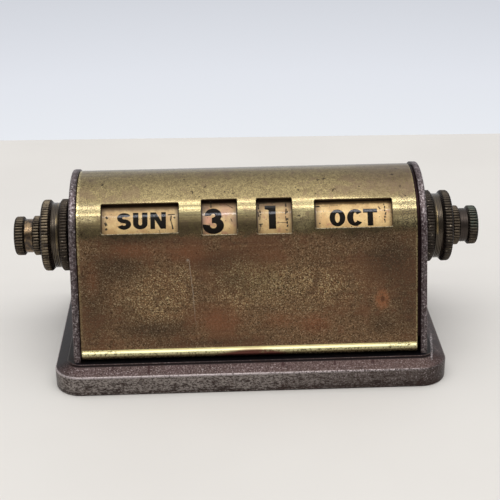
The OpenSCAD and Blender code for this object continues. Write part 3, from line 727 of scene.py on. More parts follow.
def hood_piece():
    build = Build()
    windows = []
    for x, wide, tall, middle in WINDOWS:
        half = math.degrees(math.asin(tall / 2 / HOOD_R))
        windows.append((x + SHIFT, x + SHIFT + wide, *[
            FACE + HOOD_R * math.radians(a - LEAN) for a in (middle - half, middle + half)]))
    face = [FACE * i / FACE_ROWS for i in range(1, FACE_ROWS)]
    rows = face + [FACE + TOP * i / TOP_ROWS for i in range(TOP_ROWS + 1)]
    rows += [LINE - s for s in face]
    columns = [-HOOD_LEFT + COLUMN * (i + 0.5) for i in range(COLUMNS)]
    filling = [(x, s) for s in rows for x in columns if not any(
        x0 - CLEAR < x < x1 + CLEAR and s0 - CLEAR < s < s1 + CLEAR for x0, x1, s0, s1 in windows)]

    def outlines(grow):
        """The sheet's own edge and the windows' edges, moved into the sheet by grow."""
        return [box_outline(-HOOD_LEFT, HOOD_RIGHT, 0.0, LINE, SHEET_R, -grow)] + [
            box_outline(*window, WINDOW_R, grow) for window in windows]

    def sheet(grow, depth, outward):
        """One side of the sheet. Gives the vertex numbers along each of its outlines."""
        loops = outlines(grow)
        points, edges = [], []
        for loop in loops:
            first = len(points)
            points += loop
            edges += [(first + i, first + (i + 1) % len(loop)) for i in range(len(loop))]
        out, _, faces, origin, _, _ = delaunay_2d_cdt(
            [Vector(p) for p in points + filling], edges, [], 0, 1e-5)
        first = len(build.verts)
        normals = []
        for x, s in out:
            y, z, normal = hood_point(s, depth)
            build.vert(x, y, z)
            normal = shading(x, z, normal)
            normals.append(normal if outward else tuple(-c for c in normal))
        for f in faces:
            x, s = [sum(out[i][axis] for i in f) / 3 for axis in (0, 1)]
            if not any(inside(loop, x, s) for loop in loops[1:]):
                turn = flip(f, not outward)
                build.face([first + i for i in turn], [normals[i] for i in turn])
        number = {source: first + i for i, sources in enumerate(origin) for source in sources}
        order = iter(range(len(points)))
        return [[number[next(order)] for _ in loop] for loop in loops]

    outer = sheet(CHAMFER, 0.0, True)
    inner = sheet(0.0, HOOD_T, False)
    lips = [[build.vert(x, *hood_point(s, CHAMFER)[:2]) for x, s in loop]
            for loop in outlines(0.0)]
    for k, edges in enumerate(zip(outer, lips, inner)):
        for p, q in zip(edges, edges[1:]):
            for i in range(len(p)):
                j = (i + 1) % len(p)
                build.face((p[i], p[j], q[j], q[i]) if k else (p[j], p[i], q[i], q[j]))
    bead(build, -BEAD_F)
    bead(build, BEAD_F)
    return build.piece("hood_sheet", BRASS, "root", ["hood"])


hood_piece()

# ---------------------------------------------------------------- end plates

BASE_TOP = 8.2
PLATE_R = 19.5
PLATE_X = 51.2
PLATE_T = 0.8
BAND_W = 2.0
LEDGE_R = 18.5
LEDGE_X = PLATE_X - 5.1
LEDGE_FOOT = 12.6
BUSH_R = 4.05
FOOT_X = PLATE_X - 10.0
FOOT_Y = 22.0


def arch(r, x, foot, n=80):
    """Line over the top at radius r, from the front foot to the back foot."""
    reach = r * cos(LEAN) + (AXIS + r * sin(LEAN) - foot) * math.tan(math.radians(LEAN))
    return [(x, -reach, foot)] + [
        (x, -r * cos(a), AXIS + r * sin(a))
        for a in (LEAN + (180 - 2 * LEAN) * i / n for i in range(n + 1))] + [(x, reach, foot)]


def end_plate(node, side):
    build = Build()
    right = side > 0
    edge = 0.55       # rounding of the outer edge
    lip = 0.15        # rounding of the edge beside the brass
    flange = PLATE_X - BAND_W
    tuck = flange + 0.1     # the ledge starts inside the flange
    profile = [(PLATE_R - edge + edge * sin(a), PLATE_X - edge + edge * cos(a))
               for a in range(0, 91, 15)]
    profile += [(PLATE_R - lip + lip * cos(a), flange + lip - lip * sin(a)) for a in (0, 45, 90)]
    profile += [(LEDGE_R - PLATE_T, flange), (LEDGE_R - PLATE_T, flange + PLATE_T),
                (PLATE_R - PLATE_T, flange + PLATE_T), (PLATE_R - PLATE_T, PLATE_X - PLATE_T)]
    rows = [build.loop(arch(r, side * x, BASE_TOP)) for r, x in profile]
    build.grid([flip(row, not right) for row in rows])
    # outer and inner faces, around the bush's hole
    steps = 12
    for row, x, inner in ((rows[0], PLATE_X, False), (rows[-1], PLATE_X - PLATE_T, True)):
        front, back = build.verts[row[0]][1], build.verts[row[-1]][1]
        line = row + [build.vert(side * x, back + (front - back) * i / steps, BASE_TOP)
                      for i in range(1, steps)]
        around = [math.atan2(z - AXIS, y) for _, y, z in (build.verts[i] for i in line)]
        hole = build.loop([(side * x, BUSH_R * math.cos(a), AXIS + BUSH_R * math.sin(a))
                           for a in around])
        build.grid(flip([hole, line], inner == right), closed_cols=True)
    # feet: the cut profile on each side
    for end in (0, -1):
        build.face(flip([row[end] for row in rows], (end == 0) != right))
    # ledge under the brass
    ring = [(LEDGE_R, tuck), (LEDGE_R, LEDGE_X), (LEDGE_R - PLATE_T, LEDGE_X),
            (LEDGE_R - PLATE_T, tuck)]
    rows = [flip(build.loop(arch(r, side * x, LEDGE_FOOT)), not right) for r, x in ring]
    build.grid(rows, closed_rows=True)
    for end in (0, -1):
        build.face(flip([row[end] for row in rows], end == -1))
    # foot inside
    wall = PLATE_X - PLATE_T / 2
    corners = [(FOOT_X, -FOOT_Y), (wall, -FOOT_Y), (wall, FOOT_Y), (FOOT_X, FOOT_Y)]
    low, high = [flip(build.loop([(side * x, y, z) for x, y in corners]), right)
                 for z in (BASE_TOP, BASE_TOP + PLATE_T)]
    build.face(low)
    build.face(reversed(high))
    build.grid([high, low], closed_cols=True)
    return build.piece(node + "_skin", PLATE, "root", [node])


end_plate("left_end_plate", -1)
end_plate("right_end_plate", 1)

# ---------------------------------------------------------------- base

BASE_W = 114.0
BASE_D = 66.87
BASE_R = 8.0
RIM_H = 5.9
BEVEL_W = 4.2
BASE_T = 0.9
HEM_W = 3.6


def rounded_rectangle(w, d, r, z):
    r = max(r, 0.2)
    x, y = w / 2 - r, d / 2 - r
    return [(px, py, z) for cx, cy, a in ((x, y, 0), (-x, y, 90), (-x, -y, 180), (x, -y, 270))
            for px, py in arc(cx, cy, r, a, a + 90, 16)]


def bend(a, b, c, r, n):
    """Corner at b between a and c, rounded to radius r."""
    a, b, c = Vector(a), Vector(b), Vector(c)
    u, v = (a - b).normalized(), (c - b).normalized()
    half = u.angle(v) / 2
    centre = b + (u + v).normalized() * (r / math.sin(half))
    p, q = b + u * (r / math.tan(half)), b + v * (r / math.tan(half))
    start, end = [math.atan2(t.y - centre.y, t.x - centre.x) for t in (p, q)]
    sweep = math.remainder(end - start, 2 * math.pi)
    return [(centre.x + r * math.cos(start + sweep * i / n),
             centre.y + r * math.sin(start + sweep * i / n)) for i in range(n + 1)]


def base_piece():
    build = Build()
    # places are (distance inwards from the outer edge, height); each bend has its radius and steps
    step_foot, step_edge = (3.55, 7.55), (3.85, BASE_TOP)
    over = [(HEM_W, 0.0)]
    over += bend((HEM_W, 0), (0, 0), (0, RIM_H), 0.45, 4)
    over += bend((0, 0), (0, RIM_H), step_foot, 0.9, 8)
    over.append(step_foot)
    over += bend(step_foot, step_edge, (20, BASE_TOP), 0.22, 4)
    under = [(BEVEL_W + 0.4, BASE_TOP - BASE_T), (BASE_T, RIM_H - 0.6), (BASE_T, BASE_T),
             (HEM_W, BASE_T)]
    over, under = [[build.loop(rounded_rectangle(BASE_W - 2 * d, BASE_D - 2 * d, BASE_R - d, z))
                    for d, z in line] for line in (over, under)]
    build.grid(over[::-1], closed_cols=True)
    build.grid(under[::-1], closed_cols=True)
    build.grid([over[0], under[-1]], closed_cols=True)
    build.face(over[-1])
    build.face(reversed(under[0]))
    return build.piece("base_skin", TRAY, "root", ["base_tray"])


base_piece()

# ---------------------------------------------------------------- knobs

KNOB_X = 52.0
LARGE_R, LARGE_LEN = 10.75, 8.7
SMALL_R, SMALL_LEN = 5.9, 7.7
SLEEVE_IN, SLEEVE_R, SPINDLE_R = 2.05, 3.0, 2.0


def rim_profile(r, low, x_face, x_slope, slope, corner, d):
    """One knurled rim from its face to the waist. d is 1 for an outer rim, -1 for an inner."""
    return [(r - corner * (1 - sin(a)), x_face - d * corner * (1 - cos(a)), 0.55 + 0.45 * sin(a))
            for a in (0, 22, 45, 68, 90)] + [
        (r, (x_face + x_slope) / 2, 1.0), (r, x_slope + d * 0.12, 1.0), (r - 0.1, x_slope, 0.9),
        (r - (r - low) * 0.55, x_slope - d * slope * 0.5, 0.35),
        (low + 0.05, x_slope - d * slope * 0.94, 0.0)]


def knob_profile(r, low, x0, x1, inner, outer, corner, rings):
    """Outer line of a knob from its inner face x0 to its outer face x1, with fine turned rings
    in its waist. inner and outer are the lengths of a rim and of its slope."""
    start, end = x0 + inner[0] + inner[1], x1 - outer[0] - outer[1]
    inner = rim_profile(r, low, x0, x0 + inner[0], inner[1], 0.5, -1)
    outer = rim_profile(r - 0.1, low, x1, x1 - outer[0], outer[1], corner, 1)
    steps = rings * 4
    waist = [(low - (0.07 if i % 4 == 2 else 0.0), start + (end - start) * i / steps, 0.0)
             for i in range(steps + 1)]
    return inner + waist + outer[::-1]


def plain(*places):
    """Outline without knurls through places (radius, x)."""
    return [(r, x, 0.0) for r, x in places]


def large_outline():
    x0, x1 = KNOB_X, KNOB_X + LARGE_LEN
    seat, shoulder = x1 - 0.6, x0 + 0.65
    return plain((LARGE_R - 1.6, x0), (LARGE_R - 1.6, shoulder)) + knob_profile(
        LARGE_R, LARGE_R - 1.05, shoulder, x1, inner=(2.25, 0.7), outer=(2.35, 0.85),
        corner=0.9, rings=4) + plain(
        (SLEEVE_IN, x1), (SLEEVE_IN, seat), (SLEEVE_R, seat), (SLEEVE_R, x0))


def small_outline():
    x0 = KNOB_X + LARGE_LEN + 0.7
    x1 = x0 + SMALL_LEN
    seat, floor, neck = x1 - 2.0, x1 - 0.5, x0 - 0.6
    return knob_profile(
        SMALL_R, SMALL_R - 0.85, x0, x1, inner=(2.0, 0.4), outer=(2.65, 0.5), corner=0.85,
        rings=3) + plain(
        (SMALL_R - 1.0, x1), (SMALL_R - 1.4, x1 - 0.12), (SMALL_R - 2.0, floor), (0.02, floor),
        (0.02, seat), (SPINDLE_R, seat), (SPINDLE_R, neck), (SLEEVE_R, neck), (SLEEVE_R, x0))


def knob(body, side, outline, teeth, depth):
    """Turns a closed outline of (radius, x, share of the knurls' depth) about the drum axis."""
    build = Build()
    steps = teeth * 6
    rows = []
    for r, x, share in outline:
        row = []
        for a in (360.0 * i / steps for i in range(steps)):
            cut = depth * share * (1 - abs(sin(a * teeth / 2)) ** 0.7)
            row.append(build.vert(side * x, (r - cut) * cos(a), AXIS + (r - cut) * sin(a)))
        rows.append(flip(row, side < 0))
    build.grid(rows, closed_rows=True, closed_cols=True)
    node = body + "_knob"
    return build.piece(node + "_knurled", BRONZE, body, [node], sharp=50)


knob("weekday", -1, large_outline(), teeth=72, depth=0.32)
knob("month", 1, large_outline(), teeth=72, depth=0.32)
knob("tens", -1, small_outline(), teeth=40, depth=0.42)
knob("units", 1, small_outline(), teeth=40, depth=0.42)

# ---------------------------------------------------------------- printed bands

BAND_R = 17.0
BAND_T = 0.2
INK_T, INK_IN = 0.02, 0.06    # height of the print, and how far it reaches into the paper
LABEL_LEAN = 2.4     # how far the labels' gloss leans upwards on their front side
GAP = 0.6            # between two letters
ROW = 0.4            # spacing of the level lines that let the print follow the drum's curve
BAND_STEPS = 240


class Glyph:
    """One character on a unit-high field, drawn with strokes as convex polygons."""

    def __init__(self, width):
        self.width = width
        self.shapes = []

    def quad(self, *points):
        self.shapes.append(list(points))
        return self

    def bar(self, x0, y0, x1, y1):
        return self.quad((x0, y0), (x1, y0), (x1, y1), (x0, y1))

    def bow(self, cx, cy, rx, ry, tx, ty, a0, a1):
        """Part of an elliptical ring; tx and ty are its thickness sideways and upright."""
        n = max(3, round(abs(a1 - a0) / 12))
        angles = [a0 + (a1 - a0) * i / n for i in range(n + 1)]
        outer = [(cx + rx * cos(a), cy + ry * sin(a)) for a in angles]
        inner = [(cx + (rx - tx) * cos(a), cy + (ry - ty) * sin(a)) for a in angles]
        for i in range(n):
            self.quad(outer[i], outer[i + 1], inner[i + 1], inner[i])
        return self


T = 0.3      # thickness of upright strokes
H = 0.235    # thickness of level strokes
WIDTHS = dict(A=0.84, B=0.76, C=0.8, D=0.8, E=0.66, F=0.62, G=0.84, H=0.8, I=0.3, J=0.62, L=0.62,
              M=0.98, N=0.8, O=0.86, P=0.74, R=0.78, S=0.76, T=0.76, U=0.8, V=0.8, W=1.1, Y=0.8)


def letter(c):
    w = WIDTHS[c]
    g = Glyph(w)
    m = w / 2
    if c in "BDEFHILMPR":
        g.bar(0, 0, T, 1)
    if c in "HM":
        g.bar(w - T, 0, w, 1)
    if c in "EF":
        g.bar(T - 0.02, 1 - H, w, 1).bar(T - 0.02, 0.42, w - 0.06, 0.42 + H * 0.9)
    if c in "EL":
        g.bar(T - 0.02, 0, w, H)
    if c == "H":
        g.bar(T - 0.02, 0.4, w - T + 0.02, 0.4 + H)
    if c == "N":
        stem = 0.235
        g.bar(0, 0, stem, 1).bar(w - stem, 0, w, 1)
        g.quad((0, 1), (w - stem - 0.04, 0), (w, 0), (stem + 0.05, 1))
    if c == "M":
        g.quad((0, 1), (m - 0.11, 0.12), (m + 0.11, 0.12), (T + 0.03, 1))
        g.quad((w - T - 0.03, 1), (m - 0.11, 0.12), (m + 0.11, 0.12), (w, 1))
    if c in "AVW":
        ys = [0, 0, 1, 1] if c == "A" else [1, 1, 0, 0]
        for foot, peak in [(0, m / 2 + 0.02), (m - 0.02, 3 * m / 2)] if c == "W" else [(0, m)]:
            xs = [foot, foot + T, peak + T / 2, peak - T / 2]
            g.quad(*zip(xs, ys)).quad(*zip([2 * peak - x for x in xs], ys))
        if c == "A":
            g.bar(m - 0.2, 0.2, m + 0.2, 0.2 + H * 0.8)
    if c == "Y":
        g.bar(m - T / 2, 0, m + T / 2, 0.45)
        g.quad((0, 1), (T + 0.03, 1), (m + T / 2, 0.4), (m - T / 2, 0.4))
        g.quad((w - T - 0.03, 1), (w, 1), (m + T / 2, 0.4), (m - T / 2, 0.4))
    if c == "T":
        g.bar(0, 1 - H, w, 1).bar(m - T / 2, 0, m + T / 2, 1)
    if c in "OCG":
        a0, a1 = (0, 360) if c == "O" else (36, 324)
        g.bow(m, 0.5, m, 0.5, T, H * 0.9, a0, a1)
    if c == "G":
        g.bar(m + 0.04, 0.3, w, 0.3 + H * 0.9).bar(w - T * 0.9, 0.08, w, 0.42)
    if c in "UJ":
        r = 0.34
        g.bow(m, r, m, r, T, H, 180, 360)
        g.bar(w - T, r - 0.01, w, 1)
        g.bar(0, r - 0.01, T, 1 if c == "U" else r + 0.06)
    if c == "D":
        g.bar(T - 0.02, 1 - H, m, 1).bar(T - 0.02, 0, m, H)
        g.bow(m, 0.5, w - m, 0.5, T, H, -90, 90)
    if c in "BPR":
        y = 0.44
        ry = (1 - y) / 2
        g.bar(T - 0.02, 1 - H * 0.9, m, 1).bar(T - 0.02, y, m, y + H * 0.9)
        g.bow(m, 1 - ry, w - m - (0.03 if c == "B" else 0), ry, T, H * 0.9, -90, 90)
    if c == "B":
        ry = (y + H * 0.9) / 2
        g.bar(T - 0.02, 0, m, H * 0.9)
        g.bow(m, ry, w - m, ry, T, H * 0.9, -90, 90)
    if c == "R":
        g.quad((m - 0.08, 0.48), (m + 0.2, 0.48), (w + 0.02, 0), (w - T - 0.04, 0))
    if c == "S":
        ry = (1 + H) / 4
        g.bow(m, 1 - ry, m, ry, T * 0.95, H, 22, 270)
        g.bow(m, ry, m, ry, T * 0.95, H, -158, 90)
    return g


def digit(c):
    w, m, t, h = 0.72, 0.36, 0.285, 0.215
    g = Glyph(0.46 if c == "1" else w)
    ry = (1 + h) / 4
    if c == "1":
        g.bar(0.16, 0, 0.46, 1).quad((0, 1), (0, 0.84), (0.17, 0.8), (0.17, 1))
    elif c == "0":
        g.bow(m, 0.5, m, 0.5, t, h, 0, 360)
    elif c == "2":
        g.bow(m, 0.7, m, 0.3, t, h, -30, 168)
        g.quad((0, h), (0, 0), (0.3, h * 0.6), (w - 0.03, 0.56), (w - 0.24, 0.5))
        g.bar(0, 0, w, h * 1.15)
    elif c == "3":
        top = ry * 0.94
        g.bow(m, 1 - top, 0.285, top, 0.215, h, -90, 184)
        g.bow(m, ry * 1.06, m, ry * 1.06, 0.25, h, -190, 90)
        g.bar(m - 0.05, 0.5 - h / 2 + 0.02, m + 0.03, 0.5 + h / 2 + 0.02)
    elif c == "4":
        g.bar(w - 0.36, 0, w - 0.1, 1).bar(0, 0.2, w, 0.2 + h)
        g.quad((0, 0.36), (0, 0.2), (0.22, 0.3), (w - 0.12, 1), (w - 0.36, 1))
    elif c == "5":
        g.bar(0.06, 1 - h * 1.1, w - 0.05, 1).bar(0.06, 0.46, 0.06 + t * 0.8, 1)
        g.bow(m, 0.32, m, 0.32, t, h, -158, 140)
    elif c == "6":
        g.bow(m, 0.32, m, 0.32, t, h, 0, 360).bow(m, 0.5, m, 0.5, t, h, 40, 200)
    elif c == "7":
        g.bar(0, 1 - h * 1.15, w, 1)
        g.quad((0.12, 0), (0.12 + t * 1.1, 0), (w, 1 - h), (w - t * 1.1, 1 - h))
    elif c == "8":
        g.bow(m, 1 - ry * 0.94, m * 0.94, ry * 0.94, t, h, 0, 360)
        g.bow(m, ry * 1.06, m, ry * 1.06, t, h, 0, 360)
    elif c == "9":
        g.bow(m, 1 - 0.32, m, 0.32, t, h, 0, 360).bow(m, 0.5, m, 0.5, t, h, 220, 380)
    return g


def print_shapes(build, shapes, x0=0.0, angle0=0.0, sx=1.0, sy=1.0):
    """Lays flat shapes on the band as a thin layer. x0 is the left end, angle0 the height angle
    of the baseline, sx and sy the size of a unit."""
    points, edges, faces = [], [], []
    for shape in shapes:
        first = len(points)
        area = sum(a[0] * b[1] - b[0] * a[1] for a, b in zip(shape, shape[1:] + shape[:1]))
        points += [Vector((x * sx, y * sy)) for x, y in flip(shape, area < 0)]
        faces.append(list(range(first, len(points))))
    low_x, high_x = min(p.x for p in points) - 0.2, max(p.x for p in points) + 0.2
    low_y, high_y = min(p.y for p in points), max(p.y for p in points)
    rows = int((high_y - low_y) / ROW)
    for i in range(1, rows + 1):
        y = low_y + (high_y - low_y) * i / (rows + 1)
        edges.append((len(points), len(points) + 1))
        points += [Vector((low_x, y)), Vector((high_x, y))]
    out, _, tris, _, _, sources = delaunay_2d_cdt(points, edges, faces, 0, 1e-4)
    kept = [f for f, source in zip(tris, sources) if source]
    index, normal, border = {}, {}, {}
    for i in sorted({i for f in kept for i in f}):
        a = angle0 + math.degrees(out[i].y / BAND_R)
        index[i] = [build.vert(x0 + out[i].x, -r * cos(a), AXIS + r * sin(a))
                    for r in (BAND_R + INK_T, BAND_R - INK_IN)]
        normal[i] = (0.0, -cos(a + LABEL_LEAN), sin(a + LABEL_LEAN))
    for f in kept:
        build.face([index[i][0] for i in f], [normal[i] for i in f])
        build.face([index[i][1] for i in reversed(f)])
        for a, b in zip(f, f[1:] + f[:1]):
            if not border.pop((b, a), False):
                border[a, b] = True
    for a, b in border:
        build.face([index[b][0], index[a][0], index[a][1], index[b][1]])


def word(build, text, centre, angle, height, places=None):
    """Prints a word about its centre, or each character between its own start and end."""
    draw = digit if text.isdigit() else letter
    glyphs = [draw(c) for c in text]
    if places:
        for g, (a, b) in zip(glyphs, places):
            print_shapes(build, g.shapes, a, angle, (b - a) / g.width, height)
        return
    x = centre - (sum(g.width for g in glyphs) * height + GAP * (len(text) - 1)) / 2
    for g in glyphs:
        print_shapes(build, g.shapes, x, angle, height, height)
        x += g.width * height + GAP


def dashes(build, x, angle0, angle1, draws):
    """Worn dotted rule around the drum at x."""
    a = angle0
    while a < angle1:
        long = draws.uniform(0.8, 4.0)
        if draws.random() < 0.85:
            wide = draws.uniform(0.2, 0.6)
            lean = draws.uniform(-0.2, 0.2)
            h = math.radians(long) * BAND_R
            print_shapes(build, [[(0, 0), (wide, 0.02), (wide + lean, h), (lean, h * 0.9)]],
                         x + draws.uniform(-0.12, 0.12), a)
        a += long + draws.uniform(0.3, 1.0)


def strokes(build, marks):
    """Prints straight strokes, each (x, height angle, x, height angle, width)."""
    for x0, a0, x1, a1, wide in marks:
        start, end = [Vector((x, math.radians(a) * BAND_R)) for x, a in ((x0, a0), (x1, a1))]
        across = (end - start).orthogonal().normalized() * wide / 2
        print_shapes(build, [[tuple(p) for p in (start - across, end - across, end + across,
                                                 start + across)]])


def band(body, material):
    build = Build()
    low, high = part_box(body + "_band")
    x0, x1 = low[0] / MM, high[0] / MM
    angles = [360.0 / BAND_STEPS * i for i in range(BAND_STEPS)]
    rows = [build.loop([(x, r * cos(a), AXIS + r * sin(a)) for a in angles])
            for r, x in ((BAND_R - BAND_T, x0), (BAND_R, x0), (BAND_R, x1), (BAND_R - BAND_T, x1))]
    # the grid's second strip is the printed surface
    build.radial(len(angles), [a - LABEL_LEAN for a in angles])
    build.grid(rows, closed_rows=True, closed_cols=True)
    return build.piece(body + "_label", material, body, [body + "_band"])


DRUMS = (
    # body, characters, first baseline angle, height, centre, rule places, exact places, how far
    # the label's dark upper edge is raised, the shade's depth below it, tone
    ("weekday", ["SUN", "MON", "TUE", "WED", "THU", "FRI", "SAT"], 27.7, 4.88, -30.6,
     (), [(-37.5, -33.5), (-32.95, -28.8), (-28.0, -23.55)], 0.14, 0.55, 1.0),
    ("tens", list("30123012"), 21.4, 7.5, -9.8, (), [(-13.05, -6.95)], 0.14, 0.55, 0.98),
    ("units", list("1234567890"), 24.9, 6.9, 6.9, (3.2, 11.0), [(4.84, 8.0)], 0.0, 1.2, 0.95),
    ("month", ["OCT", "NOV", "DEC", "JAN", "FEB", "MAR", "APR", "MAY", "JUN", "JUL", "AUG",
               "SEP"], 25.7, 4.95, 30.3, (39.3,), [(23.4, 27.96), (28.45, 33.2), (33.15, 37.2)],
     0.32, 0.1, 1.28),
)
# worn remains of printed frames and cracks on the labels that show at rest
MARKS = {
    "weekday": [
        (-40.7, 40.6, -40.2, 38.6, 0.65), (-41.0, 35.0, -40.5, 31.8, 0.7),
        (-40.8, 29.4, -40.5, 27.4, 0.6), (-23.0, 41.2, -21.0, 41.6, 0.3),
        (-22.0, 40.4, -22.2, 36.0, 0.38), (-22.2, 36.2, -21.8, 31.0, 0.3),
        (-21.8, 31.2, -21.6, 27.0, 0.42), (-21.3, 39.0, -20.9, 37.6, 0.4)],
    "tens": [(-10.75, 55.0, -10.55, 47.6, 0.45), (-6.2, 50.6, -4.2, 46.4, 0.2),
             (-5.0, 36.0, -4.6, 33.0, 0.2)],
    "units": [
        (3.0, 29.6, 4.2, 29.8, 0.3), (8.4, 31.0, 11.2, 30.8, 0.12), (3.0, 50.5, 3.1, 44.6, 0.42),
        (2.9, 42.0, 3.1, 37.0, 0.35), (3.3, 50.8, 5.6, 51.1, 0.35), (6.6, 51.0, 8.6, 51.2, 0.22),
        (10.9, 51.0, 11.0, 46.5, 0.45), (11.0, 44.5, 10.8, 38.8, 0.38),
        (10.8, 37.0, 10.9, 32.0, 0.28)],
    "month": [(17.9, 45.6, 18.9, 45.9, 0.25), (19.2, 45.8, 20.7, 46.0, 0.4),
              (21.2, 46.2, 26.0, 46.4, 0.1), (20.4, 29.4, 20.7, 28.6, 0.45),
              (37.6, 44.5, 38.2, 41.5, 0.3)],
}
# stained places on the labels: (x, height, size, shade, amount)
PATCHES = {
    "tens": [(-12.2, 45.6, 2.4, (0.74, 0.33, 0.2), 0.8),
             (-13.0, 49.0, 3.2, (0.16, 0.09, 0.055), 0.8),
             (-6.5, 48.2, 3.4, (0.66, 0.36, 0.24), 0.6),
             (-4.4, 45.4, 1.6, (0.36, 0.19, 0.1), 0.6)],
    "month": [(19.0, 44.0, 3.0, (0.62, 0.43, 0.19), 0.5)],
}


def side_seen_from_camera(x):
    """Window side's place on its label, moved by the camera's parallax, for the painted side shade.
    """
    return x + (SHIFT + 0.0064 * (x + 9.0))


for number, (body, texts, base, height, centre, rules, exact, raised, depth,
             tone) in enumerate(DRUMS):
    draws = random.Random(20 + number)
    left, wide, tall, middle = WINDOWS[number]
    dark_edge = AXIS + BAND_R * sin(middle + math.degrees(tall / 2 / HOOD_R) - 0.5)
    stains, shine = (0.08, 1.0) if body == "tens" else (0.0, 0.36)
    band(body, aged_paper(
        body + "_paper", 10.0 + 7 * number, stains, tone, shine,
        (side_seen_from_camera(left), side_seen_from_camera(left + wide), dark_edge + raised, depth),
        PATCHES.get(body, ())))
    step = 360.0 / len(texts)
    build = Build()
    for i, text in enumerate(texts):
        word(build, text, centre, base - i * step, height, None if i else exact)
    build.piece(body + "_print", INK, body)
    build = Build()
    for i in range(len(texts)):
        for x in rules:
            dashes(build, x, base - i * step - 2, base - i * step + min(step - 5, 20), draws)
    strokes(build, MARKS[body])
    build.piece(body + "_marks", FADED, body)

# ---------------------------------------------------------------- CAD nodes that stay

KEPT = {
    SHAFT: "left_bush right_bush left_sleeve right_sleeve left_collar right_collar centre_bush",
    SPINDLE: "left_spindle right_spindle plate_screws plate_nuts bracket_rivets left_washer "
             "right_washer tens_washer units_washer",
    TIN: "weekday_drum tens_drum units_drum month_drum",
    PLATE: "centre_bracket",
    CARD: "base_card",
}
for material, names in KEPT.items():
    for name in names.split():
        for place in frame["nodes"][name].material_slots:
            place.material = material

# ---------------------------------------------------------------- camera

CAMERA_AT = (-8.909, -320.163, 180.882)
YAW, PITCH, ROLL = 1.746, 25.319, -0.737
FOCAL_PX = 1166.79
FRAME_PX = 500.0

forward = Vector((sin(YAW) * cos(PITCH), cos(YAW) * cos(PITCH), -sin(PITCH)))
right = Vector((cos(YAW), -sin(YAW), 0.0))
up = right.cross(forward)
side_axis = right * cos(ROLL) + up * sin(ROLL)
up_axis = up * cos(ROLL) - right * sin(ROLL)
camera_data = bpy.data.cameras.new("camera")
camera_data.sensor_width = 36.0
camera_data.lens = FOCAL_PX / FRAME_PX * camera_data.sensor_width
camera_data.clip_start = 0.01
camera_data.clip_end = 20.0
camera = new_object("camera", camera_data)
camera.matrix_world = Matrix.Translation(Vector(CAMERA_AT) * MM) @ Matrix(
    (side_axis, up_axis, -forward)).transposed().to_4x4()
bpy.context.scene.camera = camera

# ---------------------------------------------------------------- floor, lights, world

# the rest is in metres
FLOOR_HALF, FLOOR_FRONT = 2.5, -3.5
FLOOR_BACK, BACK_SLOPE = 0.1825, -0.027     # where the floor ends behind the object
LAMP_AWAY, LAMP_LONG = 0.8, 1.1
PALE = (1.55, 1.55, 1.55)


def floor():
    mesh = bpy.data.meshes.new("floor")
    lift = FLOOR_HALF * BACK_SLOPE
    corners = [(-FLOOR_HALF, FLOOR_FRONT), (FLOOR_HALF, FLOOR_FRONT),
               (FLOOR_HALF, FLOOR_BACK + lift), (-FLOOR_HALF, FLOOR_BACK - lift)]
    mesh.from_pydata([(x, y, 0.0) for x, y in corners], [], [(0, 1, 2, 3)])
    s = Shader("floor_paper")
    cloud = s.mask(s.noise(0.012, 3, 0.6, 1.0), 0.3, 0.7)
    s.colour = s.mix(cloud, (0.76, 0.738, 0.705), (0.735, 0.712, 0.68))
    mesh.materials.append(s.finish(Roughness=0.9,
                                   Normal=s.bump(s.noise(0.9, 3, 0.7, 2.0), 0.1, 0.05)))
    thing = new_object("floor", mesh)


def strip_light(name, elevation, width, power, colour):
    """Long lamp parallel to the drum axis, seen from it at an elevation towards the front."""
    data = bpy.data.lights.new(name, "AREA")
    data.shape = "RECTANGLE"
    data.size, data.size_y = LAMP_LONG, width
    data.energy = power
    data.color = colour
    away = Vector((0.0, -cos(elevation), sin(elevation)))
    along = Vector((1, 0, 0))
    lamp = new_object(name, data)
    lamp.location = Vector((0.0, 0.0, AXIS * MM)) + away * LAMP_AWAY
    lamp.rotation_euler = Matrix((along, away.cross(along), away)).transposed().to_euler()


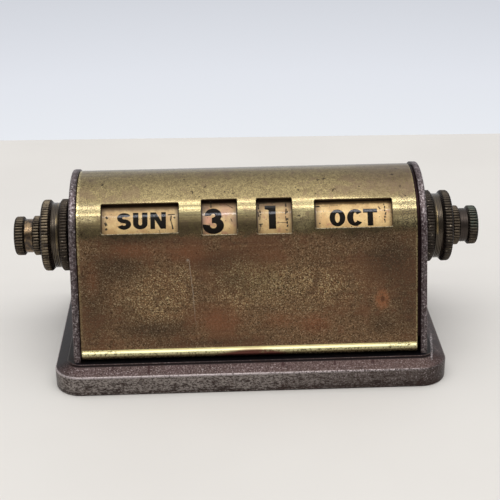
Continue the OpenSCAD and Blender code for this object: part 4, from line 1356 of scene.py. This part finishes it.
def world():
    w = Nodes(bpy.data.worlds.new("studio"))
    bpy.context.scene.world = w.owner
    coords = w.add("ShaderNodeTexCoord").outputs["Generated"]
    _, ahead, height = w.add("ShaderNodeSeparateXYZ", {0: coords}).outputs

    def ramp(low, *stops):
        """Colours by height, each with its share of the way from low to the top."""
        share = w.add("ShaderNodeMapRange", {0: height, 1: low, 2: 1.0}).outputs[0]
        node = w.add("ShaderNodeValToRGB", {0: share})
        elements = node.color_ramp.elements
        while len(elements) < len(stops):
            elements.new(0.5)
        for element, (where, colour) in zip(elements, stops):
            element.position = where
            element.color = (*colour, 1.0)
        return node.outputs[0]

    # what the lamps' light bounces from: dim in front of the table, pale behind it
    front = ramp(-1.0, (0.0, (0.7, 0.68, 0.65)), (0.47, (0.7, 0.68, 0.65)),
                 (0.51, (0.4, 0.38, 0.36)), (0.6, (0.29, 0.275, 0.26)), (0.7, (0.2, 0.19, 0.185)),
                 (0.79, (0.26, 0.255, 0.25)), (0.86, (0.78, 0.77, 0.76)),
                 (0.92, (1.06, 1.055, 1.05)), (1.0, PALE))
    back = ramp(-1.0, (0.0, (0.72, 0.7, 0.67)), (0.49, (0.76, 0.74, 0.72)),
                (0.55, (0.76, 0.77, 0.79)), (0.75, (0.7, 0.7, 0.71)), (0.9, (0.88, 0.88, 0.89)),
                (1.0, PALE))
    wall = ramp(-0.36, (0.0, (0.835, 0.862, 0.9)), (0.053, (0.765, 0.788, 0.845)),
                (0.118, (0.61, 0.63, 0.68)), (0.34, (0.76, 0.77, 0.79)), (0.63, (0.7, 0.7, 0.71)),
                (0.85, (0.88, 0.88, 0.89)), (1.0, PALE))
    behind = w.mask(ahead, -0.35, 0.35)
    # the camera sees the wall on every side, gloss and glass see it behind the object
    ray = w.add("ShaderNodeLightPath").outputs
    mirrored = w.times(w.most(ray["Is Glossy Ray"], ray["Is Transmission Ray"]), behind)
    colour = w.mix(w.most(ray["Is Camera Ray"], mirrored), w.mix(behind, front, back), wall)
    background = w.add("ShaderNodeBackground", {0: colour})
    w.add("ShaderNodeOutputWorld", {0: background.outputs[0]})


floor()
world()
strip_light("lamp_front", 62.5, 0.042, 1.25, (1.0, 0.99, 0.965))
strip_light("lamp_over", 75.0, 0.046, 1.15, (1.0, 0.99, 0.97))
bpy.context.scene.view_settings.view_transform = "Standard"
